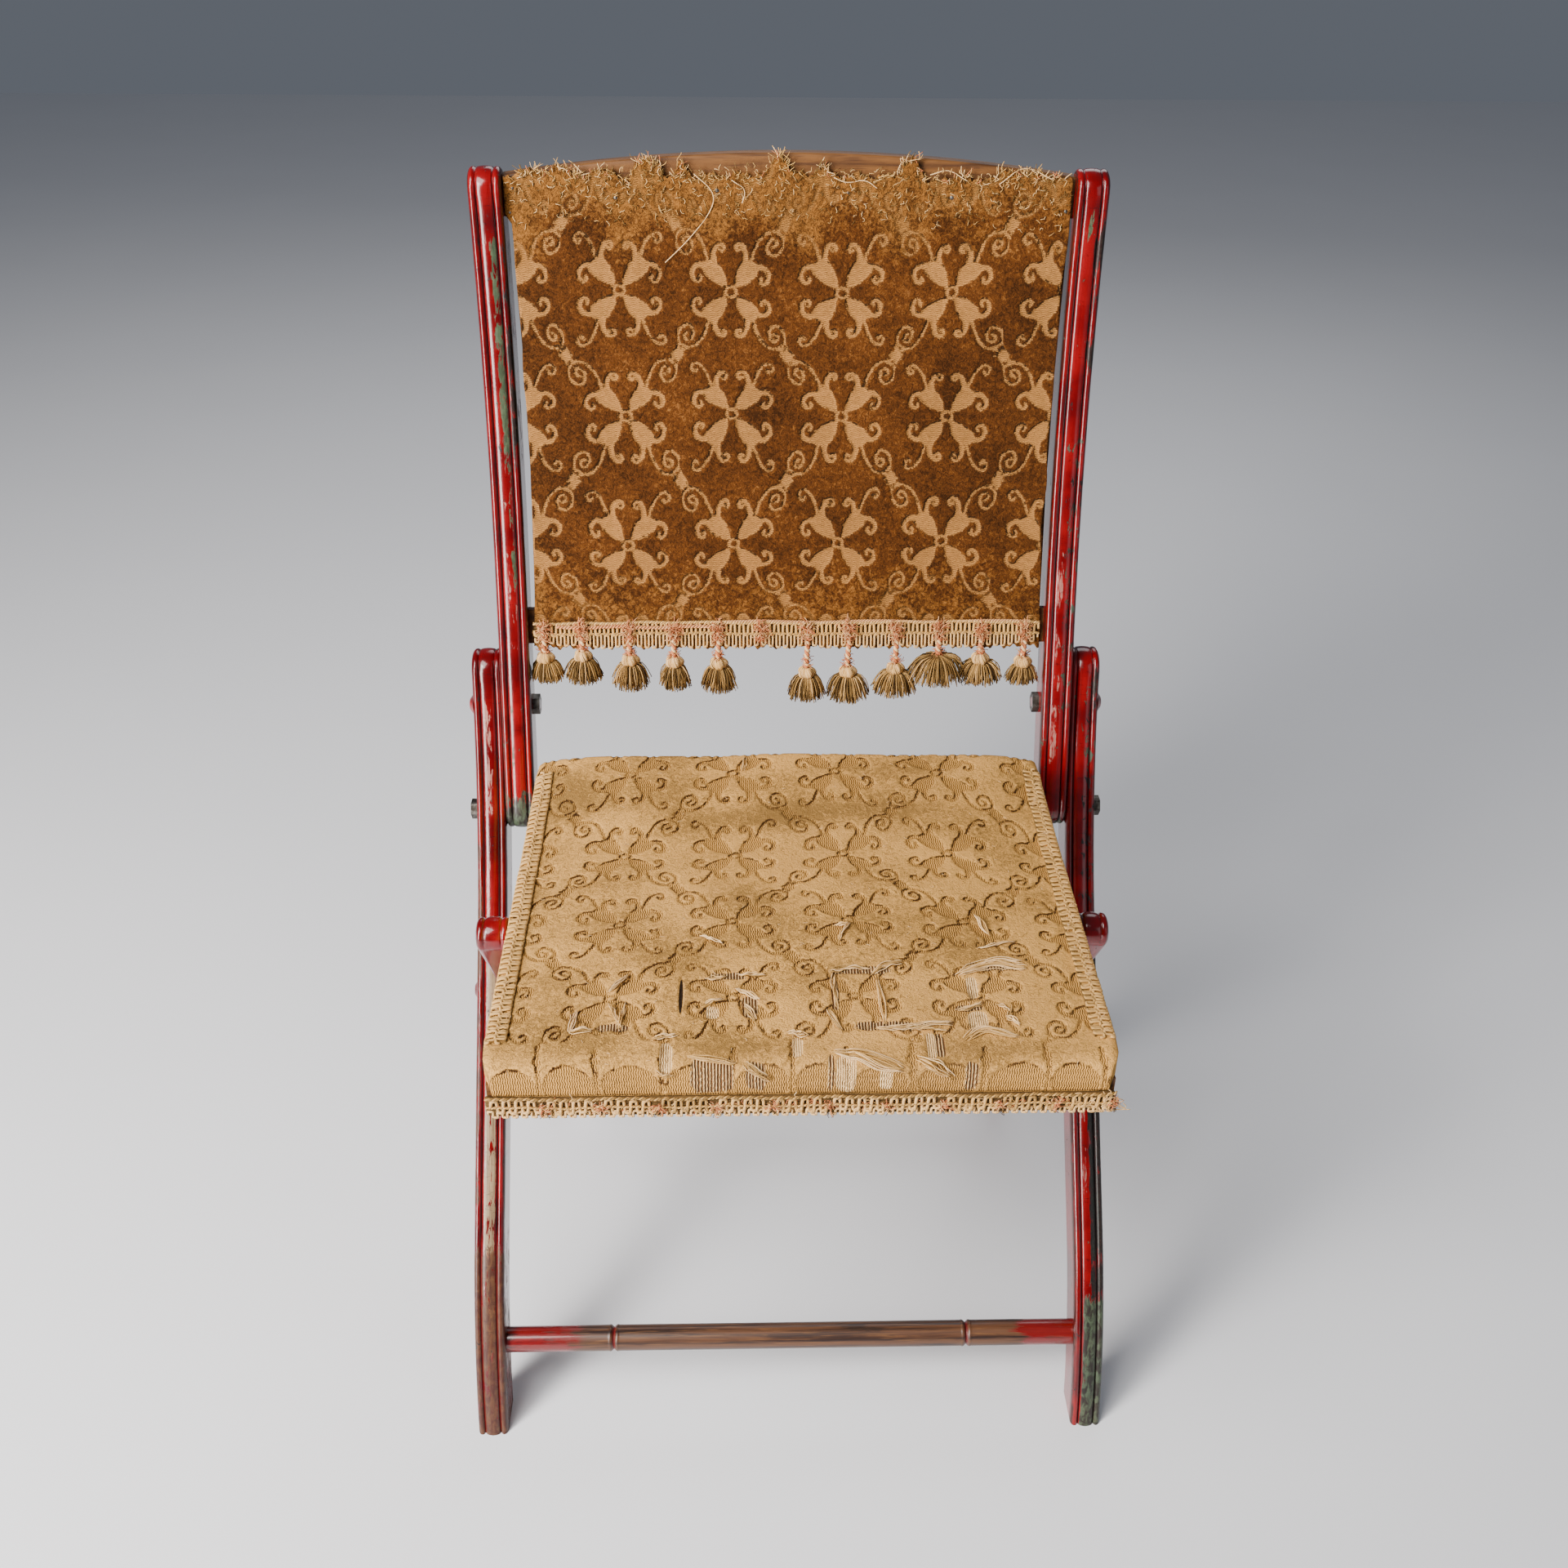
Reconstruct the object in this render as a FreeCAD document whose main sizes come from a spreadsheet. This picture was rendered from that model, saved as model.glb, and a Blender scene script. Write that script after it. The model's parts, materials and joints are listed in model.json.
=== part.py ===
import FreeCAD, Part
import math
import os

import Sketcher
from FreeCAD import Placement, Rotation, Vector

# Folding side chair: two crossed pairs of reeded, ogee-curved posts, a back frame lapped and
# bolted inside the front posts, and an upholstered seat that hinges up from its rear rod.
# Millimetres. +Z is up, +X is the sitter's left-to-right axis and the chair faces -Y.
# The origin lies on the floor under the middle of the chair's width and depth.

DRIVING_SIZES = {
    # the whole chair
    "chair_width": 486.5, "post_thickness": 23, "pivot_gap": 1,
    # front posts: foot bend, straight run and top bend of the show edge
    "post_depth": 34, "foot_lean_degrees": 14, "leg_lean_degrees": 38, "leg_top_lean_degrees": 16,
    "foot_bend": 380, "top_bend": 553, "leg_straight": 226,
    # rear posts: the same foot, a longer straight run and a small rounded knob
    "crossing_height": 282, "rear_leg_straight": 352, "knob_radius": 12.5,
    # back stiles, hinged height of their lower ends and how far these stand off the leg's middle
    "stile_depth": 30, "stile_lean_degrees": 18,
    "stile_top_lean_degrees": 0.5, "stile_bend": 1000,
    "stile_straight": 150, "hinge_height": 403, "stile_set_forward": 5,
    # reeded show edge: wide middle reed, two grooves and two corner beads
    "reed_width": 10.6, "reed_rise": 1.4, "groove_width": 1.3, "groove_depth": 2.7,
    "bead_drop": 0.9, "bead_inner_drop": 2.0, "bead_fall": 4.2, "back_round": 3,
    "back_easing": 0.3,
    # turned stretchers
    "stretcher_radius": 10, "stretcher_height": 63, "tenon_radius": 7, "tenon_length": 13,
    "ring_depth": 1.6, "ring_width": 3.2, "ring_inset": 83, "tenon_slack": 0.1,
    # crest rail and lower rail of the back
    "back_rail_thickness": 14, "back_recess": 12, "crest_side_height": 28, "crest_side_top": 860,
    "crest_rise": 15, "lower_rail_height": 26, "lower_rail_rise": 145,
    # stretched back cloth, its lining, band and tassels
    "cloth_thickness": 2.4, "lining_thickness": 1.2, "cloth_side_gap": 5.25,
    "band_height": 19, "band_thickness": 3, "band_hang": 3,
    "tassel_cord_radius": 1.6, "tassel_cord_length": 11, "tassel_head_radius": 6.5,
    "tassel_skirt_radius": 11.5, "tassel_head_height": 11, "tassel_skirt_height": 15,
    "tassel_inset": 8.5, "tassel_count": 12, "lost_tassel_number": 5,
    # seat frame
    "seat_depth": 331, "seat_setback": 19.5, "rail_width": 22,
    "rail_height": 22, "rail_eye_radius": 13, "rail_tail": 25, "notch_fall_degrees": 32,
    "corner_block_leg": 34, "corner_block_height": 18,
    # rod under the seat and the two blocks that hook over it
    "rest_rod_radius": 8, "rest_gap": 0.3, "rest_rod_tenon": 15,
    "hook_block_length": 24, "hook_block_height": 13, "hook_block_round": 6,
    # seat webbing, cushion, cover and trims
    "web_width": 50, "web_thickness": 1.6, "web_strap_count": 3, "cushion_edge": 13.4,
    "cushion_crown": 12.5, "cushion_draw": 2.2, "braid_width": 13, "braid_thickness": 2,
    "braid_end_inset": 24, "fringe_height": 20, "fringe_thickness": 3, "cover_lap": 0.6,
    # hardware
    "hinge_rod_radius": 6, "bolt_radius": 4, "pivot_bolt_radius": 4.5, "running_clearance": 0.05,
    "head_radius": 9, "head_height": 3.2, "nut_radius": 8, "nut_height": 5, "side_clearance": 0.1,
    "spacer_radius": 10, "spacer_length": 8.55, "back_bolt_rise": 77, "washer_radius": 13,
    # how far cutting shapes run past the wood
    "overrun": 6,
}
NUT_SIDES = 6
TASSEL_SIDES = 6
RIGHT_ANGLE = 90
HALF_TURN = 180
FULL_TURN = 360
# Share of a bead's width taken by half its nearly flat top
BEAD_FLAT_SHARES = 0.2

doc = FreeCAD.newDocument("folding_chair")
sheet = doc.addObject("Spreadsheet::Sheet", "Sizes")
for row, (alias, number) in enumerate(DRIVING_SIZES.items(), start=1):
    sheet.set("A%d" % row, alias.replace("_", " "))
    sheet.set("B%d" % row, str(number))
    sheet.setAlias("B%d" % row, alias)
doc.recompute()


def size(alias):
    """Value of one driving dimension, read back from the sheet."""
    return float(sheet.get(alias))


SUBPARTS = []


# Small helpers: edges of posts in the side view

def ahead(lean, length):
    """Step along an edge that leans back from the vertical by this many degrees."""
    turn = math.radians(lean)
    return Vector(math.sin(turn), math.cos(turn), 0) * length


def inward(lean, length):
    """Step square to such an edge, into the wood behind it."""
    turn = math.radians(lean)
    return Vector(math.cos(turn), -math.sin(turn), 0) * length


def straight_run(start, lean, length):
    """Straight stretch of a show edge."""
    return {"start": start, "end": start + ahead(lean, length), "leans": (lean, lean), "radius": None}


def bent_run(start, lean_in, lean_out, radius, radius_name):
    """Arc of a show edge that turns from one lean to another."""
    side = 1 if lean_out > lean_in else -1
    centre = start + inward(lean_in, side * radius)
    half_way = (lean_in + lean_out) / 2
    return {"start": start, "end": centre - inward(lean_out, side * radius),
            "middle": centre - inward(half_way, side * radius), "centre": centre, "side": side,
            "leans": (lean_in, lean_out), "radius": radius, "radius_name": radius_name}


def offset_run(run, depth, depth_name):
    """The same stretch moved into the wood by the depth of the post."""
    lean_in, lean_out = run["leans"]
    moved = {"start": run["start"] + inward(lean_in, depth),
             "end": run["end"] + inward(lean_out, depth), "leans": run["leans"], "radius": None}
    if run["radius"]:
        half_way = (lean_in + lean_out) / 2
        sign = "-" if run["side"] > 0 else "+"
        moved["middle"] = run["middle"] + inward(half_way, depth)
        moved["centre"] = run["centre"]
        moved["radius"] = run["radius"] - run["side"] * depth
        moved["radius_name"] = "%s %s Sizes.%s" % (run["radius_name"], sign, depth_name)
    return moved


def reversed_run(run):
    """The same stretch walked the other way."""
    turned = dict(run)
    turned["start"], turned["end"] = run["end"], run["start"]
    return turned


def end_cap(start, lean, radius, radius_name, sweep=HALF_TURN):
    """Rounded end of a post: from the show edge over the top to the back edge."""
    centre = start + inward(lean, radius)
    return {"start": start, "end": centre - inward(lean + sweep, radius),
            "middle": centre - inward(lean + sweep / 2, radius), "centre": centre,
            "radius": radius, "radius_name": radius_name, "leans": (lean, lean + sweep)}


def cut_at_floor(run):
    """Shorten the lowest stretch of a back edge to where it meets the floor."""
    lean = math.degrees(math.asin(-run["centre"].y / run["radius"]))
    top_lean = run["leans"][1]
    cut = dict(run)
    cut["start"] = run["centre"] - inward(lean, run["radius"])
    cut["middle"] = run["centre"] - inward((lean + top_lean) / 2, run["radius"])
    cut["leans"] = (lean, top_lean)
    return cut


# Small helpers: bodies, sketches and features

def new_body(label):
    """Empty body for one sub-part."""
    body = doc.addObject("PartDesign::Body", label)
    body.Label = label
    SUBPARTS.append(body)
    return body


def new_sketch(body, name, role, offset=None):
    """Sketch on one of the body's own origin planes."""
    plane = [feature for feature in body.Origin.OriginFeatures if feature.Role == role][0]
    sketch = body.newObject("Sketcher::SketchObject", name)
    sketch.AttachmentSupport = [(plane, "")]
    sketch.MapMode = "FlatFace"
    if offset:
        sketch.AttachmentOffset = offset
    return sketch


def point_number(sketch, geometry, point):
    """Which end of a sketched edge lies at this point: 1 or 2."""
    near = [(sketch.getPoint(geometry, number) - point).Length for number in (1, 2)]
    return 1 if near[0] < near[1] else 2


def draw_runs(sketch, runs, closed):
    """Draw a chain of stretches, join their ends and bind the arcs' radii to the sheet."""
    ids = []
    for run in runs:
        if run["radius"]:
            edge = Part.Arc(run["start"], run["middle"], run["end"])
        else:
            edge = Part.LineSegment(run["start"], run["end"])
        ids.append(sketch.addGeometry(edge))
    pairs = list(zip(ids, ids[1:])) + ([(ids[-1], ids[0])] if closed else [])
    for first, second in pairs:
        joint = runs[ids.index(first)]["end"]
        sketch.addConstraint(Sketcher.Constraint(
            "Coincident", first, point_number(sketch, first, joint),
            second, point_number(sketch, second, joint)))
    for index, run in zip(ids, runs):
        if run.get("radius_name"):
            number = sketch.addConstraint(Sketcher.Constraint("Radius", index, run["radius"]))
            sketch.setExpression("Constraints[%d]" % number, run["radius_name"])
    return ids


def line_chain(points):
    """Straight stretches through a list of points."""
    return [{"start": a, "end": b, "radius": None} for a, b in zip(points, points[1:])]


def arc_through(start, middle, end):
    """Curved stretch through three points."""
    radius = Part.Arc(start, middle, end).toShape().Curve.Radius
    return {"start": start, "middle": middle, "end": end, "radius": radius}


def pad_sketch(body, name, sketch, length_name, symmetric=False):
    """Pad a sketch by a length from the sheet."""
    pad = body.newObject("PartDesign::Pad", name)
    pad.Profile = sketch
    pad.setExpression("Length", length_name)
    if symmetric:
        pad.SideType = "Symmetric"
    sketch.Visibility = False
    return pad


def circle_sketch(body, name, role, centre, radius_name, offset=None):
    """Sketch of one circle with its radius bound to the sheet."""
    sketch = new_sketch(body, name, role, offset)
    sketch.addGeometry(Part.Circle(centre, Vector(0, 0, 1), size("bolt_radius")))
    sketch.addConstraint(Sketcher.Constraint("DistanceX", -1, 1, 0, 3, centre.x))
    sketch.addConstraint(Sketcher.Constraint("DistanceY", -1, 1, 0, 3, centre.y))
    number = sketch.addConstraint(Sketcher.Constraint("Radius", 0, size("bolt_radius")))
    sketch.setExpression("Constraints[%d]" % number, radius_name)
    return sketch


def through_bore(body, name, centre, radius_name):
    """Round hole right through a post, from side to side."""
    sketch = circle_sketch(body, name + "_circle", "YZ_Plane", centre, radius_name)
    bore = body.newObject("PartDesign::Pocket", name)
    bore.Profile = sketch
    bore.Type = "ThroughAll"
    bore.SideType = "Symmetric"
    return bore


def blind_bore(body, name, centre, radius_name, depth_name, face_side, thickness_name):
    """Round socket sunk into one side face; face_side is 1 for the +X face, -1 for the other."""
    face = Placement(Vector(0, 0, face_side * size(thickness_name) / 2), Rotation())
    sketch = circle_sketch(body, name + "_circle", "YZ_Plane", centre, radius_name, face)
    bore = body.newObject("PartDesign::Pocket", name)
    bore.Profile = sketch
    bore.setExpression("Length", depth_name)
    bore.Reversed = face_side < 0
    return bore


def plain_block(body, name, low, high):
    """Rectangular block between two corners given in the chair's own directions."""
    sketch = new_sketch(body, name + "_outline", "XY_Plane", Placement(Vector(0, 0, low.z), Rotation()))
    corners = [Vector(low.x, low.y, 0), Vector(high.x, low.y, 0), Vector(high.x, high.y, 0),
               Vector(low.x, high.y, 0), Vector(low.x, low.y, 0)]
    draw_runs(sketch, line_chain(corners), True)
    pad = body.newObject("PartDesign::Pad", name)
    pad.Profile = sketch
    pad.Length = high.z - low.z
    return pad


def sweep_cut(body, name, profile, spine):
    """Run a moulding cutter along an edge."""
    cut = body.newObject("PartDesign::SubtractivePipe", name)
    cut.Profile = profile
    cut.Spine = (spine, [])
    return cut


# The moulding: a wide convex reed between two grooves and two corner beads

def reed_profile():
    """Closed outline of the cutter that leaves the reeded edge; depth is measured into the wood."""
    half = size("post_thickness") / 2
    reed = size("reed_width") / 2
    bead = reed + size("groove_width")
    crest, crest_half = (bead + half) / 2, (half - bead) * BEAD_FLAT_SHARES
    over = size("overrun")
    right = [Vector(reed, size("reed_rise"), 0),
             Vector((reed + bead) / 2, size("groove_depth"), 0),
             Vector(bead, size("bead_inner_drop"), 0),
             Vector(crest - crest_half, size("bead_drop"), 0),
             Vector(crest + crest_half, size("bead_drop") + size("back_easing"), 0),
             Vector(half, size("bead_fall"), 0),
             Vector(half + over, size("bead_fall"), 0), Vector(half + over, -over, 0)]
    left = [Vector(-point.x, point.y, 0) for point in right]
    return [arc_through(left[0], Vector(0, 0, 0), right[0])] + line_chain(right + left[::-1])


def easing_profile():
    """Closed outline of the cutter that takes off the two corners of a back edge."""
    half = size("post_thickness") / 2
    corner, ease, over = size("back_round"), size("back_easing"), size("overrun")
    right = [Vector(half - corner, ease, 0), Vector(half, ease + corner, 0),
             Vector(half + over, ease + corner, 0), Vector(half + over, -over, 0)]
    left = [Vector(-point.x, point.y, 0) for point in right]
    return line_chain([left[0]] + right + left[::-1])


def mould_edge(body, name, runs, profile, into_wood):
    """Sweep a cutter outline along a chain of stretches, starting square to its first point."""
    spine = new_sketch(body, name + "_path", "YZ_Plane")
    draw_runs(spine, runs, False)
    start = Placement(Vector(0, runs[0]["start"].x, runs[0]["start"].y),
                      Rotation(Vector(1, 0, 0), into_wood))
    cutter = new_sketch(body, name + "_cutter", "XY_Plane", start)
    draw_runs(cutter, profile, True)
    return sweep_cut(body, name, cutter, spine)


def reeded_post(label, show_runs, back_runs, top_cap, bottom_cap=None):
    """One post: side outline padded to its thickness, then the show edge reeded round its domed
    ends and the back edge eased."""
    body = new_body(label)
    outline = new_sketch(body, label + "_outline", "YZ_Plane")
    back_down = [reversed_run(run) for run in reversed(back_runs)]
    if bottom_cap:
        closing = [bottom_cap]
    else:
        closing = line_chain([back_down[-1]["end"], show_runs[0]["start"]])
    draw_runs(outline, show_runs + [top_cap] + back_down + closing, True)
    pad_sketch(body, label + "_board", outline, "Sizes.post_thickness", True)
    over = size("overrun")
    lean = show_runs[0]["leans"][0]
    if bottom_cap:
        show_path = [bottom_cap] + show_runs + [top_cap]
        first_lean = bottom_cap["leans"][0]
    else:
        below = show_runs[0]["start"] - ahead(lean, over)
        show_path = line_chain([below, show_runs[0]["start"]]) + show_runs + [top_cap]
        first_lean = lean
    mould_edge(body, label + "_reeding", show_path, reed_profile(), -first_lean)
    if bottom_cap:
        back_path = back_runs
    else:
        foot = back_runs[0]
        below = foot["start"] - ahead(foot["leans"][0], over)
        back_path = line_chain([below, foot["start"]]) + back_runs
    mould_edge(body, label + "_eased_back", back_path, easing_profile(),
               HALF_TURN - back_runs[0]["leans"][0])
    return body


# Lines of the front post, in the side view: first number back from the front foot, second up

LEG_LEAN, LEG_TOP_LEAN = size("leg_lean_degrees"), size("leg_top_lean_degrees")
FOOT = bent_run(Vector(0, 0, 0), size("foot_lean_degrees"), LEG_LEAN, size("foot_bend"), "Sizes.foot_bend")
SHIN = straight_run(FOOT["end"], LEG_LEAN, size("leg_straight"))
TOP = bent_run(SHIN["end"], LEG_LEAN, LEG_TOP_LEAN, size("top_bend"), "Sizes.top_bend")
LEG_SHOW = [FOOT, SHIN, TOP]
LEG_BACK = [cut_at_floor(offset_run(FOOT, size("post_depth"), "post_depth")),
            offset_run(SHIN, size("post_depth"), "post_depth"),
            offset_run(TOP, size("post_depth"), "post_depth")]
LEG_CAP = end_cap(TOP["end"], LEG_TOP_LEAN, size("post_depth") / 2, "Sizes.post_depth / 2")


def leg_middle_on_shin(height):
    """Point on the front post's middle line, in its straight stretch, at this height."""
    start = SHIN["start"] + inward(LEG_LEAN, size("post_depth") / 2)
    return start + ahead(LEG_LEAN, (height - start.y) / math.cos(math.radians(LEG_LEAN)))


def leg_middle_on_top(height):
    """Point on the front post's middle line, in its top bend, at this height."""
    radius = size("top_bend") + size("post_depth") / 2
    rise = height - TOP["centre"].y
    return Vector(TOP["centre"].x + math.sqrt(radius ** 2 - rise ** 2), height, 0)


# Pivot points in the side view

CROSSING = leg_middle_on_shin(size("crossing_height"))
HINGE = leg_middle_on_top(size("hinge_height")) - Vector(size("stile_set_forward"), 0, 0)
REAR_FOOT_BACK = 2 * CROSSING.x

# Lines of the rear post, drawn forwards from its own foot: the post is a front post turned about

SHANK = straight_run(FOOT["end"], LEG_LEAN, size("rear_leg_straight"))
KNOB_NARROWING = size("post_depth") - 2 * size("knob_radius")
KNOB_TAPER = math.degrees(math.asin(KNOB_NARROWING / size("rear_leg_straight")))
KNOB_CAP = end_cap(SHANK["end"], LEG_LEAN, size("knob_radius"), "Sizes.knob_radius",
                   HALF_TURN + KNOB_TAPER)
REAR_BACK_FOOT = LEG_BACK[0]
REAR_BACK_SHANK = {"start": REAR_BACK_FOOT["end"], "end": KNOB_CAP["end"], "radius": None,
                   "leans": (LEG_LEAN, LEG_LEAN)}
KNOB = Vector(REAR_FOOT_BACK - KNOB_CAP["centre"].x, KNOB_CAP["centre"].y, 0)

# Lines of the back stile

STILE_LEAN = size("stile_lean_degrees")
STILE_START = HINGE - inward(STILE_LEAN, size("stile_depth") / 2)
STILE_STRAIGHT = straight_run(STILE_START, STILE_LEAN, size("stile_straight"))
STILE_BEND = bent_run(STILE_STRAIGHT["end"], STILE_LEAN, size("stile_top_lean_degrees"),
                      size("stile_bend"), "Sizes.stile_bend")
STILE_SHOW = [STILE_STRAIGHT, STILE_BEND]
STILE_BACK = [offset_run(run, size("stile_depth"), "stile_depth") for run in STILE_SHOW]
STILE_TOP_CAP = end_cap(STILE_BEND["end"], size("stile_top_lean_degrees"), size("stile_depth") / 2,
                        "Sizes.stile_depth / 2")
STILE_LOW_CAP = end_cap(STILE_BACK[0]["start"], STILE_LEAN - HALF_TURN, size("stile_depth") / 2,
                        "Sizes.stile_depth / 2")

# Places across the chair, measured from its middle plane

LEG_X = (size("chair_width") - size("post_thickness")) / 2
LEG_INNER = size("chair_width") / 2 - size("post_thickness")
REAR_LEG_X = LEG_INNER - size("pivot_gap") - size("post_thickness") / 2
REAR_LEG_INNER = REAR_LEG_X - size("post_thickness") / 2
STILE_X = LEG_INNER - size("post_thickness") / 2
STILE_INNER = LEG_INNER - size("post_thickness")
CLOTH_X = STILE_INNER - size("cloth_side_gap")
SEAT_X = STILE_INNER - size("spacer_length") - size("rest_gap") + size("cloth_thickness")

# Places along the chair, measured back from the front foot

SEAT_BACK = HINGE.x - size("seat_setback")
SEAT_FRONT = SEAT_BACK - size("seat_depth")
MID_DEPTH = (SEAT_FRONT + REAR_FOOT_BACK) / 2
SEAT_UNDER = KNOB.y
BOLT_HEIGHT = HINGE.y + size("back_bolt_rise")
BOLT_ALONG = size("back_bolt_rise") / math.cos(math.radians(STILE_LEAN))
ON_LEG = leg_middle_on_top(BOLT_HEIGHT)
ON_STILE = HINGE + ahead(STILE_LEAN, BOLT_ALONG)
BOLT_PLACE = Vector((ON_LEG.x + ON_STILE.x) / 2, BOLT_HEIGHT, 0)
STRETCHER_PLACE = Vector(FOOT["centre"].x - math.sqrt(
    (size("foot_bend") - size("post_depth") / 2) ** 2
    - (size("stretcher_height") - FOOT["centre"].y) ** 2), size("stretcher_height"), 0)


def put(body, x=0, turned=False, back=0):
    """Set a body in the chair: shifted back so that the origin is under the chair's middle."""
    turn = Rotation(Vector(0, 0, 1), HALF_TURN if turned else 0)
    body.Placement = Placement(Vector(x, back - MID_DEPTH, 0), turn)


for side, hand in ((-1, "left"), (1, "right")):
    leg = reeded_post("front_leg_" + hand, LEG_SHOW, LEG_BACK, LEG_CAP)
    through_bore(leg, leg.Name + "_pivot_bore", CROSSING, "Sizes.pivot_bolt_radius")
    through_bore(leg, leg.Name + "_hinge_bore", HINGE, "Sizes.hinge_rod_radius")
    through_bore(leg, leg.Name + "_bolt_bore", BOLT_PLACE, "Sizes.bolt_radius")
    blind_bore(leg, leg.Name + "_stretcher_socket", STRETCHER_PLACE,
               "Sizes.tenon_radius + Sizes.tenon_slack", "Sizes.tenon_length", -side, "post_thickness")
    put(leg, side * LEG_X)

    rear = reeded_post("rear_leg_" + hand, [FOOT, SHANK], [REAR_BACK_FOOT, REAR_BACK_SHANK], KNOB_CAP)
    from_foot = Vector(REAR_FOOT_BACK - CROSSING.x, CROSSING.y, 0)
    through_bore(rear, rear.Name + "_pivot_bore", from_foot,
                 "Sizes.pivot_bolt_radius + Sizes.running_clearance")
    blind_bore(rear, rear.Name + "_rod_socket", KNOB_CAP["centre"], "Sizes.rest_rod_radius",
               "Sizes.rest_rod_tenon", side, "post_thickness")
    blind_bore(rear, rear.Name + "_stretcher_socket", STRETCHER_PLACE,
               "Sizes.tenon_radius + Sizes.tenon_slack", "Sizes.tenon_length", side, "post_thickness")
    put(rear, side * REAR_LEG_X, True, REAR_FOOT_BACK)

    stile = reeded_post("back_stile_" + hand, STILE_SHOW, STILE_BACK, STILE_TOP_CAP, STILE_LOW_CAP)
    through_bore(stile, stile.Name + "_hinge_bore", HINGE, "Sizes.hinge_rod_radius")
    through_bore(stile, stile.Name + "_bolt_bore", BOLT_PLACE, "Sizes.bolt_radius")
    put(stile, side * STILE_X)


# Turned pieces: stretchers, rods, bolts, nuts and washers lie along X

def turned_piece(body, name, outline, centre):
    """Revolve a half outline (along X, out from the axis) about a line along X."""
    axis = Placement(Vector(0, centre.y, -centre.x), Rotation())
    sketch = new_sketch(body, name + "_outline", "XZ_Plane", axis)
    draw_runs(sketch, outline, True)
    piece = body.newObject("PartDesign::Revolution", name)
    piece.Profile = sketch
    piece.ReferenceAxis = (sketch, ["H_Axis"])
    piece.Angle = FULL_TURN
    return piece


def stepped_outline(steps):
    """Half outline of a turned piece from (place along X, radius) pairs, closed along the axis."""
    points = [Vector(steps[0][0], 0, 0)] + [Vector(x, radius, 0) for x, radius in steps]
    points += [Vector(steps[-1][0], 0, 0), Vector(steps[0][0], 0, 0)]
    kept = [points[0]]
    for point in points[1:]:
        if (point - kept[-1]).Length > size("running_clearance") / 2:
            kept.append(point)
    return line_chain(kept)


def ringed_stretcher(label, half_length, centre):
    """Round stretcher with a tenon at each end and two cut rings."""
    body = new_body(label)
    bar, tenon = size("stretcher_radius"), size("tenon_radius")
    ring = half_length - size("ring_inset")
    cut, wide = size("ring_depth"), size("ring_width") / 2
    end = half_length + size("tenon_length")
    right = [(ring - wide, bar), (ring, bar - cut), (ring + wide, bar), (half_length, bar),
             (half_length, tenon), (end, tenon)]
    left = [(-x, radius) for x, radius in reversed(right)]
    turned_piece(body, label + "_turning", stepped_outline(left + right), centre)
    put(body)
    return body


def plain_rod(label, half_length, radius, centre):
    """Round rod across the chair."""
    body = new_body(label)
    turned_piece(body, label + "_turning",
                 stepped_outline([(-half_length, radius), (half_length, radius)]), centre)
    put(body)
    return body


ringed_stretcher("front_stretcher", LEG_INNER, STRETCHER_PLACE)
REAR_STRETCHER_PLACE = Vector(REAR_FOOT_BACK - STRETCHER_PLACE.x, STRETCHER_PLACE.y, 0)
ringed_stretcher("rear_stretcher", REAR_LEG_INNER, REAR_STRETCHER_PLACE)
plain_rod("seat_rest_rod", REAR_LEG_INNER + size("rest_rod_tenon"), size("rest_rod_radius"), KNOB)
plain_rod("seat_hinge_rod", size("chair_width") / 2 + size("nut_height"), size("hinge_rod_radius"), HINGE)


# Back frame: crest rail, lower rail, stretched cloth, lining, band and tassels

CREST_BOTTOM = size("crest_side_top") - size("crest_side_height")
CREST_MIDDLE = size("crest_side_top") - size("crest_side_height") / 2
CREST_FACE = STILE_BEND["centre"].x + size("back_recess") + math.sqrt(
    size("stile_bend") ** 2 - (CREST_MIDDLE - STILE_BEND["centre"].y) ** 2)
LOWER_RAIL = HINGE + ahead(STILE_LEAN, size("lower_rail_rise"))
RAIL_FRONT = size("back_recess") - size("stile_depth") / 2


def rail_point(into, along):
    """Point of the side view given in the lower rail's own slope: into the back, and up it."""
    return LOWER_RAIL + inward(STILE_LEAN, into) + ahead(STILE_LEAN, along)


def sloped_board(label, half_width, into_low, into_high, along_low, along_high):
    """Board that lies in the slope of the lower rail."""
    body = new_body(label)
    corners = [rail_point(into_low, along_low), rail_point(into_high, along_low),
               rail_point(into_high, along_high), rail_point(into_low, along_high),
               rail_point(into_low, along_low)]
    sketch = new_sketch(body, label + "_outline", "YZ_Plane")
    draw_runs(sketch, line_chain(corners), True)
    pad = body.newObject("PartDesign::Pad", label + "_board")
    pad.Profile = sketch
    pad.SideType = "Symmetric"
    pad.Length = 2 * half_width
    put(body)
    return body


def crest_rail():
    """Top rail with an arched upper edge."""
    body = new_body("crest_rail")
    face = Placement(Vector(0, 0, -CREST_FACE), Rotation())
    sketch = new_sketch(body, "crest_outline", "XZ_Plane", face)
    side, low, top = STILE_INNER, CREST_BOTTOM, size("crest_side_top")
    corners = [Vector(-side, top, 0), Vector(-side, low, 0), Vector(side, low, 0), Vector(side, top, 0)]
    arch = arc_through(corners[3], Vector(0, top + size("crest_rise"), 0), corners[0])
    draw_runs(sketch, line_chain(corners) + [arch], True)
    pad = pad_sketch(body, "crest_board", sketch, "Sizes.back_rail_thickness")
    pad.Reversed = True
    put(body)


crest_rail()
RAIL_BACK = RAIL_FRONT + size("back_rail_thickness")
HALF_RAIL = size("lower_rail_height") / 2
sloped_board("lower_back_rail", STILE_INNER, RAIL_FRONT, RAIL_BACK, -HALF_RAIL, HALF_RAIL)


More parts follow.
